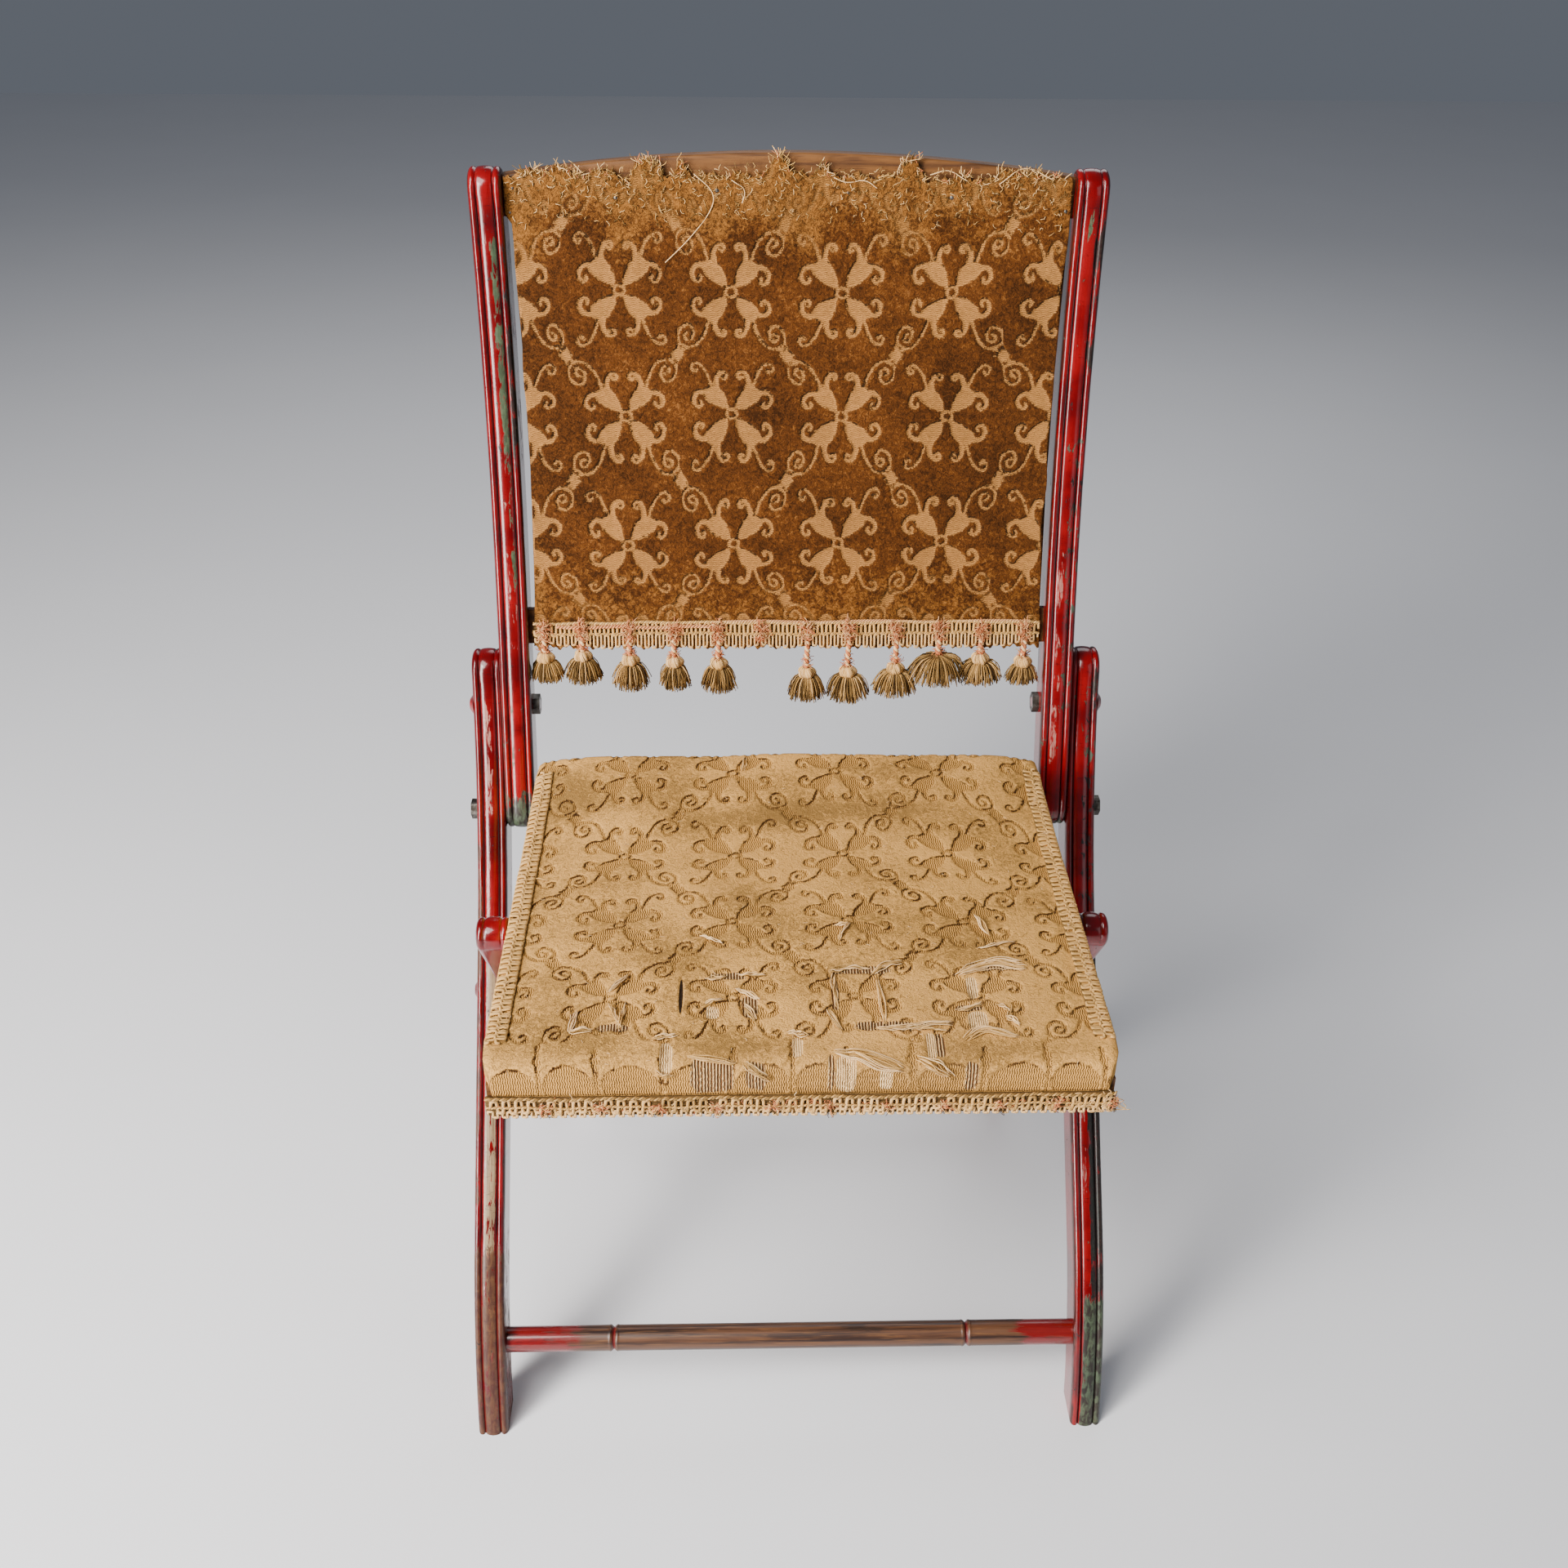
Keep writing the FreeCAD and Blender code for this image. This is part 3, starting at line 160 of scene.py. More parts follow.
class Finish:
    """A material while it is being built."""

    def __init__(self, name):
        self.material = bpy.data.materials.new(name)
        self.material.use_nodes = True
        self.tree = self.material.node_tree
        self.shader = self.tree.nodes["Principled BSDF"]

    def node(self, kind, settings=None, inputs=None, output=0):
        """Add a node: its settings first, then its inputs by name or place; gives one output."""
        made = self.tree.nodes.new("ShaderNode" + kind)
        for key, setting in (settings or {}).items():
            if key == "stops":
                self.set_stops(made.color_ramp, setting)
            else:
                setattr(made, key, setting)
        self.feed(made, inputs or {})
        return Value(self, made.outputs[output])

    def feed(self, made, inputs):
        """Give a node's inputs their links or plain values."""
        for key, given in inputs.items():
            if isinstance(given, Value):
                self.tree.links.new(given.socket, made.inputs[key])
            else:
                made.inputs[key].default_value = given

    def set_stops(self, ramp, stops):
        """Place a ramp's colours: (place, colour) pairs, at least two."""
        while len(ramp.elements) < len(stops):
            ramp.elements.new(0.5)
        for element, (place, colour) in zip(ramp.elements, stops):
            element.position = place
            element.color = colour

    def place(self):
        """Object coordinates in metres."""
        return self.node("TexCoord", output="Object")

    def trait(self, name):
        """A number that the mesh stores at its points."""
        return self.node("Attribute", {"attribute_name": name}, output="Fac")

    def course(self, name):
        """A place that the mesh stores at its points."""
        return self.node("Attribute", {"attribute_name": name}, output="Vector")

    def part(self, place, axis):
        """One coordinate of a place: X, Y or Z."""
        return self.node("SeparateXYZ", None, {0: place}, axis)

    def noise(self, place, scale, detail=2.0, rough=0.5, twist=0.0):
        """Cloudy noise from 0 to 1."""
        return self.node("TexNoise", None, {"Vector": place, "Scale": scale, "Detail": detail,
                                            "Roughness": rough, "Distortion": twist}, "Fac")

    def streak(self, place, scales, detail, rough, twist=0.0):
        """Such noise with its own scale along each axis."""
        stretched = self.node("VectorMath", {"operation": "MULTIPLY"}, {0: place, 1: scales})
        return self.noise(stretched, 1.0, detail, rough, twist)

    def mix(self, share, first, second):
        """Colour that goes from first to second with share."""
        return self.node("Mix", {"data_type": "RGBA"}, {0: share, 6: first, 7: second}, 2)

    def shade(self, colour, factor):
        """A colour darkened or lightened by a number."""
        first = colour if isinstance(colour, Value) else tuple(colour)[:3]
        return self.node("VectorMath", {"operation": "SCALE"}, {0: first, "Scale": factor})

    def bump(self, height, distance, strength=1.0):
        """Bumped normal from a height."""
        inputs = {"Height": height, "Distance": distance, "Strength": strength}
        return self.node("Bump", None, inputs, "Normal")

    def surface(self, **sockets):
        """Feed the surface shader; an underscore in a name stands for a space."""
        self.feed(self.shader, {key.replace("_", " "): given for key, given in sockets.items()})
        return self.material


# Meshes from whole arrays

def grid_faces(rows, columns, start=0, close_rows=False, close_columns=False):
    """Quads of a grid stored row by row; either way may close on itself."""
    row = np.arange(rows if close_rows else rows - 1)[:, None]
    column = np.arange(columns if close_columns else columns - 1)[None, :]
    below, above = row * columns, (row + 1) % rows * columns
    after = (column + 1) % columns
    quads = np.stack([below + column, below + after, above + after, above + column], axis=-1)
    return start + quads.reshape(-1, 4)


def tube_faces(stations, sides):
    """Faces of a tube stored ring by ring, with its two flat ends."""
    return [grid_faces(stations, sides, close_columns=True), np.arange(sides)[None, ::-1],
            (stations - 1) * sides + np.arange(sides)[None]]


def mesh_from(name, points, face_groups, traits=None, courses=None):
    """Mesh object from points in metres and arrays of faces, with numbers and places per point."""
    mesh = bpy.data.meshes.new(name)
    points = np.asarray(points, dtype=np.float32).reshape(-1, 3)
    groups = [np.asarray(group) for group in face_groups if len(group)]
    corners = np.concatenate([group.ravel() for group in groups]).astype(np.int32)
    sizes = np.concatenate([np.full(len(group), group.shape[1]) for group in groups])
    starts = np.concatenate([[0], np.cumsum(sizes)[:-1]]).astype(np.int32)
    mesh.vertices.add(len(points))
    mesh.vertices.foreach_set("co", points.ravel())
    mesh.loops.add(len(corners))
    mesh.loops.foreach_set("vertex_index", corners)
    mesh.polygons.add(len(sizes))
    mesh.polygons.foreach_set("loop_start", starts)
    for key, numbers in (traits or {}).items():
        layer = mesh.attributes.new(key, "FLOAT", "POINT")
        layer.data.foreach_set("value", np.asarray(numbers, dtype=np.float32).ravel())
    for key, places in (courses or {}).items():
        layer = mesh.attributes.new(key, "FLOAT_VECTOR", "POINT")
        layer.data.foreach_set("vector", np.asarray(places, dtype=np.float32).ravel())
    mesh.update(calc_edges=True)
    mesh.validate()
    mesh.shade_smooth()
    piece = bpy.data.objects.new(name, mesh)
    bpy.context.collection.objects.link(piece)
    return piece


def weld(piece, reach=1e-5, sharp=None):
    """Merge points that lie together, turn the faces outwards and keep edges over an angle sharp."""
    shape = bmesh.new()
    shape.from_mesh(piece.data)
    bmesh.ops.remove_doubles(shape, verts=shape.verts, dist=reach)
    bmesh.ops.recalc_face_normals(shape, faces=shape.faces)
    shape.to_mesh(piece.data)
    shape.free()
    if sharp:
        piece.data.set_sharp_from_angle(angle=math.radians(sharp))
    return piece


def dress(piece, material, body, slot, *nodes):
    """Give a piece its material, body and the nodes that it stands for; its slot is not used."""
    piece.data.materials.clear()
    piece.data.materials.append(material)
    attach(piece, body)
    if nodes:
        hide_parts(*nodes)
    return piece


def unit(vectors):
    """Vectors brought to length one."""
    return vectors / np.maximum(np.linalg.norm(vectors, axis=-1, keepdims=True), 1e-12)


def points_of(x, y, z):
    """Places from three coordinates that broadcast to one shape."""
    return np.stack(np.broadcast_arrays(x, y, z), axis=-1)


def bound(values):
    """Values kept between 0 and 1."""
    return np.clip(values, 0, 1)


def around(count):
    """Evenly spaced angles of one full turn."""
    return np.linspace(0, 2 * math.pi, count, endpoint=False)


def run_along(line):
    """Length along a line up to each of its points."""
    return np.concatenate([[0], np.cumsum(np.linalg.norm(np.diff(line, axis=0), axis=1))])


class Skein:
    """Collects round cords of any length into one mesh: each is a ring of points carried along a
    path, with flat ends."""

    def __init__(self):
        self.points, self.groups, self.tints, self.count = [], [], [], 0

    def add(self, paths, radii, sides=5, tint=0.0):
        """Cords along paths (cords, steps, 3); radii broadcast over cords, steps and sides."""
        paths = np.asarray(paths, dtype=float)
        if paths.ndim == 2:
            paths = paths[None]
        cords, steps = paths.shape[:2]
        radii = np.asarray(radii, dtype=float)
        radii = np.broadcast_to(radii if radii.ndim == 3 else radii[..., None], (cords, steps, sides))
        forward = unit(np.gradient(paths, axis=1))
        least = np.abs(forward).mean(axis=1).argmin(axis=-1)
        level = np.eye(3)[least][:, None, :]
        side = unit(np.cross(forward, level))
        up = np.cross(side, forward)
        turn = around(sides)
        spoke = np.cos(turn)[:, None] * side[:, :, None] + np.sin(turn)[:, None] * up[:, :, None]
        rings = paths[:, :, None] + radii[..., None] * spoke
        self.points.append(rings.reshape(-1, 3))
        tints = np.broadcast_to(np.asarray(tint, dtype=float).reshape(-1, 1, 1) if np.ndim(tint) else tint,
                                (cords, steps, sides))
        self.tints.append(tints.ravel())
        one = grid_faces(steps, sides, close_columns=True)[:, ::-1]
        ends = np.stack([np.arange(sides), np.arange(sides)[::-1] + (steps - 1) * sides])
        shift = self.count + np.arange(cords)[:, None, None] * steps * sides
        self.groups.append((one[None] + shift).reshape(-1, 4))
        self.groups.append((ends[None] + shift).reshape(-1, sides))
        self.count += cords * steps * sides

    def make(self, name):
        """The collected cords, in millimetres, as one piece with a tint stored at every point."""
        return mesh_from(name, np.concatenate(self.points) * MM, self.groups,
                         {"tint": np.concatenate(self.tints)})


def thread(corners, steps):
    """Smooth line through corners (cut three times), with evenly spaced steps."""
    line = rounded_path(corners, 3)
    run = run_along(line)
    spots = np.linspace(0, run[-1], steps)
    return np.stack([np.interp(spots, run, line[:, axis]) for axis in range(line.shape[1])], axis=-1)


def plied(path, ply, pitch, plies=2):
    """Plies laid round a path, one turn each pitch, ply being how far each is from its middle."""
    forward = unit(np.gradient(path, axis=0))
    level = np.eye(3)[np.abs(forward).mean(axis=0).argmin()]
    side = unit(np.cross(forward, level))
    up = np.cross(side, forward)
    run = run_along(path)
    turn = run * 2 * math.pi / pitch + np.arange(plies)[:, None] * 2 * math.pi / plies
    return path + ply * (np.cos(turn)[..., None] * side + np.sin(turn)[..., None] * up)


def serpentine(start, stop, pitch, bulge=1.1, steps=14):
    """Places along (start to stop) and across (-1 to 1) of a cord laid in squared loops, whose
    turns bulge over the next loop."""
    loops = max(int(round(abs(stop - start) / pitch)), 1)
    phase = np.linspace(0, 2 * math.pi * loops, loops * steps + 1)
    along = start + (stop - start) * (phase - bulge / 2 * np.sin(2 * phase)) / phase[-1]
    return along, np.clip(1.5 * np.sin(phase), -1, 1), np.cos(phase)


def wander(x, y, bend, step, draw):
    """Curled walks of six steps from each place of a column, their turns adding up."""
    count = len(x)
    turn = draw.uniform(0, 2 * math.pi, (count, 1)) + np.cumsum(draw.normal(0, bend, (count, 6)), axis=1)
    return x + np.cumsum(np.cos(turn), axis=1) * step, y + np.cumsum(np.sin(turn), axis=1) * step


def fuzz(skein, centre, size, count, draw, tint=0.8, radius=0.22, reach=2.4):
    """A knot's loose fibres: short curled hairs that start inside a ball and end round it."""
    start = draw.normal(0, 0.35, (count, 1, 3)) * size
    way = unit(draw.normal(0, 1, (count, 1, 3)) * np.array([1.0, 0.6, 1.0]))
    curl = draw.normal(0, 0.4, (count, 1, 3))
    share = np.linspace(0, 1, 5)[None, :, None]
    paths = np.asarray(centre) + start + way * share * size * reach * draw.uniform(0.4, 1.0, (count, 1, 1))
    paths = paths + curl * size * np.sin(share * 3.0)
    skein.add(paths, radius, 3, tint + draw.uniform(-0.08, 0.08, count))


# Lines of the posts in the side view, in millimetres back from the front foot and up

def ahead(lean, length):
    """Step along an edge that leans back by lean degrees."""
    turn = np.radians(lean)
    return np.stack([np.sin(turn), np.cos(turn)], axis=-1) * length


def inward(lean, length):
    """Step square to such an edge, into the wood."""
    turn = np.radians(lean)
    return np.stack([np.cos(turn), -np.sin(turn)], axis=-1) * length


def bent(start, lean_in, lean_out, radius, steps):
    """Points and leans of an arc that turns evenly from one lean to another."""
    side = 1 if lean_out > lean_in else -1
    centre = start + inward(lean_in, side * radius)
    leans = np.linspace(lean_in, lean_out, steps)
    return centre - inward(leans, side * radius), leans


def straight(start, lean, length, steps):
    """Points and leans of a straight stretch."""
    return start + ahead(np.full(steps, lean), np.linspace(0, length, steps)[:, None]), np.full(steps, lean)


def chained(*stretches):
    """Stretches joined end to end, the doubled points left out."""
    points = [stretches[0][0]] + [stretch[0][1:] for stretch in stretches[1:]]
    leans = [stretches[0][1]] + [stretch[1][1:] for stretch in stretches[1:]]
    return np.concatenate(points), np.concatenate(leans)


MID_DEPTH = 163.016
REAR_FOOT = 400.41
HINGE = np.array([113.106 + MID_DEPTH, 403.0])
FOOT_STEPS, POST_STEPS, CAP_STEPS = 34, 46, 18

FOOT = bent(np.zeros(2), 14, 38, 380, FOOT_STEPS)
SHIN = straight(FOOT[0][-1], 38, 226, POST_STEPS)
TOP = bent(SHIN[0][-1], 38, 16, 553, POST_STEPS)
SHANK = straight(FOOT[0][-1], 38, 352, 2 * POST_STEPS)
STILE_LOW = straight(HINGE - inward(18, 15), 18, 150, POST_STEPS)
STILE_TOP = bent(STILE_LOW[0][-1], 18, 0.5, 1000, 2 * POST_STEPS)

# Half of the moulding: places out from the middle of the post and depths into the wood
REED_X = np.array([0.0, 1.3, 2.5, 3.6, 4.5, 5.1, 5.4, 5.7, 5.95, 6.2, 6.55, 7.0, 7.6, 8.3, 9.1, 9.9,
                   10.5, 11.0, 11.35, 11.5])
REED_D = np.array([0.0, 0.08, 0.3, 0.62, 1.0, 1.4, 1.9, 2.5, 2.75, 2.5, 1.95, 1.4, 1.0, 0.85, 0.95,
                   1.35, 1.95, 2.8, 3.7, 4.4])
GROOVE_X, GROOVE_WIDTH = 5.95, 0.55
EASED_D = 0.25 + 3.05 * bound((REED_X - 8.3) / 3.2) ** 2.2


def outline_of(points, leans, depth_low, depth_high, narrow_from=0, two_caps=False):
    """Side outline of a post as stations with outward directions, from its lowest point up the
    show edge, over the round end and down the back edge; fade is 0 on the reeded edge and 1 on
    the eased one. The post narrows from one of its stations on, and may be round at both ends."""
    count = len(points)
    share = bound((np.arange(count) - narrow_from) / max(count - 1 - narrow_from, 1))
    depths = depth_low + (depth_high - depth_low) * share
    into = inward(leans, 1.0)
    back = points + into * depths[:, None]
    radius = depth_high / 2
    sweep = np.linspace(0, 180, CAP_STEPS + 2)[1:-1]
    top_turn = leans[-1] + sweep
    top = points[-1] + into[-1] * radius - inward(top_turn, radius)
    cap_fade = bound((sweep - 120) / 50)
    cap_fade = np.maximum(cap_fade * cap_fade * (3 - 2 * cap_fade), 0.55 * bound(sweep / 45))
    places = [points, top, back[::-1]]
    outs = [-into, -inward(top_turn, 1.0), into[::-1]]
    near = 0.3 * bound(1 - np.arange(count)[::-1] / 2)
    fades = [near, cap_fade, np.ones(count)]
    if two_caps:
        low_turn = leans[0] - sweep[::-1]
        low = points[0] + into[0] * radius - inward(low_turn, radius)
        out = -inward(low_turn, 1.0)
        half = CAP_STEPS // 2
        places = [low[half:]] + places + [low[:half]]
        outs = [out[half:]] + outs + [out[:half]]
        fades = [cap_fade[::-1][half:]] + fades + [cap_fade[::-1][:half]]
    return np.concatenate(places), np.concatenate(outs), np.concatenate(fades)


def post_shell(name, outline, x, turned, floor):
    """A post: the moulding carried round its side outline, flat sides laddered between the show
    edge and the back edge, and a level foot. Grooves fade out where the round end meets the back."""
    places, outs, fades = outline
    across = np.concatenate([-REED_X[:0:-1], REED_X])
    reed = np.concatenate([REED_D[:0:-1], REED_D])
    eased = np.concatenate([EASED_D[:0:-1], EASED_D])
    depth = reed + (eased - reed) * fades[:, None]
    band = places[:, None] - outs[:, None] * depth[..., None]
    if floor:
        for row in (0, -1):
            step = places[1] - places[0] if row == 0 else places[-1] - places[-2]
            step = step / step[1]
            band[row] = band[row] - step * band[row][:, 1:]
        middle = len(band) // 2
        band[:middle] = np.where(band[:middle, :, 1:] < 0, band[0], band[:middle])
        band[middle:] = np.where(band[middle:, :, 1:] < 0, band[-1], band[middle:])
    stations, spots = depth.shape
    sides = np.broadcast_to(across, depth.shape)
    along = run_along(places)
    half = stations // 2
    along = np.where(np.arange(stations) < half, along, along[-1] - along)
    hollow = np.exp(-((np.abs(sides) - GROOVE_X) / GROOVE_WIDTH) ** 2) * (1 - fades[:, None])
    shell = [np.concatenate([sides[..., None], band], axis=-1)]
    lines = [np.stack([sides, depth, np.broadcast_to(along[:, None], depth.shape)], axis=-1)]
    hollows = [hollow]
    faces = [grid_faces(stations, spots, close_rows=not floor)]
    count = stations * spots
    shares = np.array([0.0, 0.03, 0.97, 1.0])
    for spot in (0, spots - 1):
        front, rear = band[:half, spot], band[stations - 1:stations - 1 - half:-1, spot]
        ladder = front[:, None] + (rear - front)[:, None] * shares[:, None]
        level = np.full(ladder.shape[:2], across[spot])
        shell.append(np.concatenate([level[..., None], ladder], axis=-1))
        deep = REED_D[-1] + 26 * np.broadcast_to(shares, level.shape)
        lines.append(np.stack([level, deep, np.broadcast_to(along[:half, None], level.shape)], axis=-1))
        hollows.append(np.zeros(level.shape))
        faces.append(grid_faces(half, len(shares), count))
        count += half * len(shares)
    if floor:
        sole = band[0][:, None] + (band[-1] - band[0])[:, None] * shares[:, None]
        level = np.broadcast_to(across[:, None], sole.shape[:2])
        shell.append(np.concatenate([level[..., None], sole], axis=-1))
        lines.append(points_of(level, REED_D[-1], 0))
        hollows.append(np.zeros(level.shape))
        faces.append(grid_faces(spots, len(shares), count))
    points = np.concatenate([block.reshape(-1, 3) for block in shell])
    lines = np.concatenate([block.reshape(-1, 3) for block in lines])
    sign = -1 if turned else 1
    back = REAR_FOOT - points[:, 1] if turned else points[:, 1]
    placed = points_of(x + points[:, 0], back - MID_DEPTH, points[:, 2])
    outward = lines[:, 0] * (1 if x > 0 else -1)
    courses = {"line": lines * MM * np.array([sign, 1, 1])}
    traits = {"hollow": np.concatenate([block.ravel() for block in hollows])}
    traits.update(wear_of(name, placed[:, 2], outward, lines[:, 1]))
    return weld(mesh_from(name + "_moulded", placed * MM, faces, traits, courses), 2e-5, 38)


# Worn places of each post: kind, lowest and highest height, then the stretch across the post
# from its inner side (negative) to its outer side, and how worn it is
WEAR = {
    "back_stile_left": [("green", 650, 835, -6, 0.5, 0.62), ("green", 560, 690, -6, -1, 0.52),
                        ("grey", 700, 850, -1, 4, 0.4),
                        ("dark", 640, 830, -12, -6.5, 0.6), ("grey", 500, 700, -5, 5, 0.4),
                        ("green", 430, 520, 1, 5, 0.45), ("moss", 370, 425, -12, 12, 0.85)],
    "back_stile_right": [("green", 822, 846, -3, 2.5, 0.95), ("dark", 690, 850, 4, 12, 0.5),
                         ("chip", 470, 700, 0, 12, 0.75), ("grey", 430, 620, -5, 1, 0.45),
                         ("moss", 370, 415, -12, 12, 0.75)],
    "front_leg_left": [("grey", 380, 500, -3, 5, 0.56), ("grey", 230, 420, 0, 5, 0.45),
                       ("khaki", 60, 330, -5, 4.5, 0.66), ("brown", -20, 150, -12, 12, 0.72),
                       ("khaki", -20, 90, -5.5, 5.5, 0.5), ("brown", 100, 400, 7, 12, 0.55)],
    "front_leg_right": [("chip", 300, 520, 0, 12, 0.8), ("dark", 470, 525, 5, 12, 0.6),
                        ("dark", 80, 350, 0.5, 12, 0.66), ("moss", 60, 240, 0, 9, 0.5),
                        ("moss", -20, 115, -5, 12, 0.78), ("grey", 150, 340, -5, 0, 0.4)],
    "rear_leg_left": [("dark", -20, 60, -12, 12, 0.5), ("brown", 20, 200, -12, 12, 0.45)],
    "rear_leg_right": [("dark", -20, 60, -12, 12, 0.5), ("chip", 60, 420, -12, 12, 0.5)],
}
WEAR_KINDS = ("grey", "green", "khaki", "brown", "moss", "dark", "chip")
WEAR_FADE_TALL, WEAR_FADE_WIDE = 34.0, 2.2


def wear_of(name, height, outward, depth):
    """How far each kind of wear reaches at each point: windows in height and across the post with
    soft ends, less of it down the sides."""
    traits = {kind: np.full(height.shape, 0.3 if kind == "chip" else 0.0) for kind in WEAR_KINDS}
    for kind, low, high, inner, outer, share in WEAR[name]:
        tall = bound(np.minimum(height - low, high - height) / WEAR_FADE_TALL + 0.35)
        wide = bound(np.minimum(outward - inner, outer - outward) / WEAR_FADE_WIDE + 0.5)
        face = np.clip((12 - depth) / 6, 0.2, 1) if kind in ("grey", "green", "khaki") else 1
        traits[kind] = np.maximum(traits[kind], tall * wide * face * share)
    return traits


# Finishes

def lacquer_finish(colours):
    """Crimson lacquer: dark groove lines, arrises darkened partly by wear and partly as painted shade,
    streaks along the post, and places worn to the undercoat, to grey and brown wood or chipped to black;
    red is left in the worn grooves."""
    finish = Finish("crimson_lacquer")
    place, line = finish.place(), finish.course("line")
    streak = finish.streak(line, (800.0, 400.0, 11.0), 3.0, 0.6)
    fleck = finish.streak(line, (330.0, 240.0, 70.0), 5.0, 0.68, 0.4)
    spot = finish.streak(line, (260.0, 200.0, 120.0), 4.0, 0.62, 0.6)
    cloud = finish.noise(place, 24.0, 3.0, 0.55)
    crumb = finish.noise(place, 700.0, 2.0, 0.6)
    crack = finish.streak(line, (40.0, 40.0, 210.0), 2.0, 0.5, 0.8)
    grain = finish.streak(line, (1500.0, 500.0, 26.0), 4.0, 0.7)
    red = finish.mix(cloud.rise(0.3, 0.66), colours.lacquer_deep, colours.lacquer)
    red = finish.mix(streak.rise(0.52, 0.72) * 0.5, red, colours.lacquer_deep)
    red = finish.mix(streak.rise(0.40, 0.22) * 0.3, red, tone(168, 12, 14))

    def worn(kind, spread=1.25):
        """Mask of one kind of wear, broken up by noise."""
        share = finish.trait(kind)
        return (share + (fleck - 0.5) * spread + (cloud - 0.5) * 0.7).rise(0.5, 0.57) * share.rise(0.0, 0.12)

    scumble = finish.mix(grain.rise(0.3, 0.7), finish.shade(colours.undercoat, 0.5), colours.undercoat)
    paints = {"grey": finish.mix(grain.rise(0.3, 0.7), tone(116, 54, 48), tone(172, 124, 110)),
              "green": finish.mix(spot.rise(0.35, 0.7), scumble, tone(74, 92, 66)),
              "khaki": finish.mix(grain.rise(0.3, 0.7), tone(92, 70, 48), tone(160, 138, 104)),
              "brown": finish.mix(spot.rise(0.35, 0.66), tone(58, 26, 18), colours.rubbed),
              "moss": finish.mix(spot.rise(0.4, 0.62), tone(22, 27, 22), tone(62, 78, 58)),
              "dark": finish.mix(crumb.rise(0.4, 0.7), tone(12, 11, 10), tone(34, 36, 28))}
    colour, lost = red, None
    side = finish.part(line, "X").size()
    near = finish.part(line, "Y").rise(0.011, 0.005)
    # Arrises: the moulding's outer edges are darkened, partly as worn grime and partly as painted shade where
    # the rounded edge turns away from the lamps.
    arris_wear_and_shade = (side * 1000.0 - 10.7 + (fleck - 0.5) * 5.0 + (cloud - 0.5) * 4.0).rise(-0.5, 0.5) * near
    colour = finish.mix(arris_wear_and_shade * 0.92, colour, finish.mix(crumb, tone(20, 9, 7), tone(62, 26, 16)))
    for kind in WEAR_KINDS[:-1]:
        mask = worn(kind)
        colour = finish.mix(mask * 0.95, colour, paints[kind])
        lost = mask if lost is None else lost.most(mask)
    ochre = (spot - 0.5) * 2.0 + finish.trait("khaki") * 0.35
    colour = finish.mix((ochre.rise(0.5, 0.56) * finish.trait("brown")) * 0.8, colour, tone(172, 128, 66))
    chip = (finish.trait("chip") * 0.22 + (spot - 0.5) * 1.0 + (crumb - 0.5) * 0.16).rise(0.235, 0.262)
    rim = (finish.trait("chip") * 0.22 + (spot - 0.5) * 1.0).rise(0.195, 0.235)
    colour = finish.mix(rim * 0.5, colour, colours.lacquer_deep)
    colour = finish.mix(chip, colour, finish.mix(cloud.rise(0.42, 0.56), tone(13, 11, 10), tone(56, 66, 50)))
    colour = finish.mix((crack - 0.5).size().rise(0.008, 0.0) * 0.6, colour, tone(26, 6, 6))
    groove = finish.trait("hollow").rise(0.2, 0.75)
    hollow = finish.mix(finish.trait("khaki").most(finish.trait("brown")).rise(0.3, 0.5),
                        tone(20, 3, 5), tone(112, 16, 22))
    colour = finish.mix(groove * 0.92, colour, hollow)
    lost = lost.most(chip).most(arris_wear_and_shade * 0.6)
    rough = 0.2 + lost * 0.26 + (cloud - 0.5) * 0.1 + groove * 0.2
    height = streak * 0.3 + (fleck - 0.5) * 0.35 - chip * 1.3 - lost * 0.5 + crumb * lost * 0.4
    return finish.surface(Base_Color=colour, Roughness=rough, Specular_IOR_Level=0.3,
                          Coat_Weight=0.5 - lost * 0.35, Coat_Roughness=0.1,
                          Normal=finish.bump(height, 0.0005, 0.6))


def painted_metal_finish(colours):
    """Bolt heads lacquered over with the wood: crimson, chipped to dark steel."""
    finish = Finish("lacquered_bolt")
    place = finish.place()
    spot = finish.noise(place, 420.0, 4.0, 0.65)
    cloud = finish.noise(place, 90.0, 3.0, 0.6)
    colour = finish.mix(cloud.rise(0.35, 0.65), colours.lacquer_deep, colours.lacquer)
    chip = spot.rise(0.6, 0.66)
    colour = finish.mix(chip, colour, tone(30, 27, 25))
    return finish.surface(Base_Color=colour, Roughness=0.26 + chip * 0.25, Coat_Weight=0.5 - chip * 0.4,
                          Metallic=chip * 0.7, Normal=finish.bump(cloud - chip, 0.0004, 0.5))


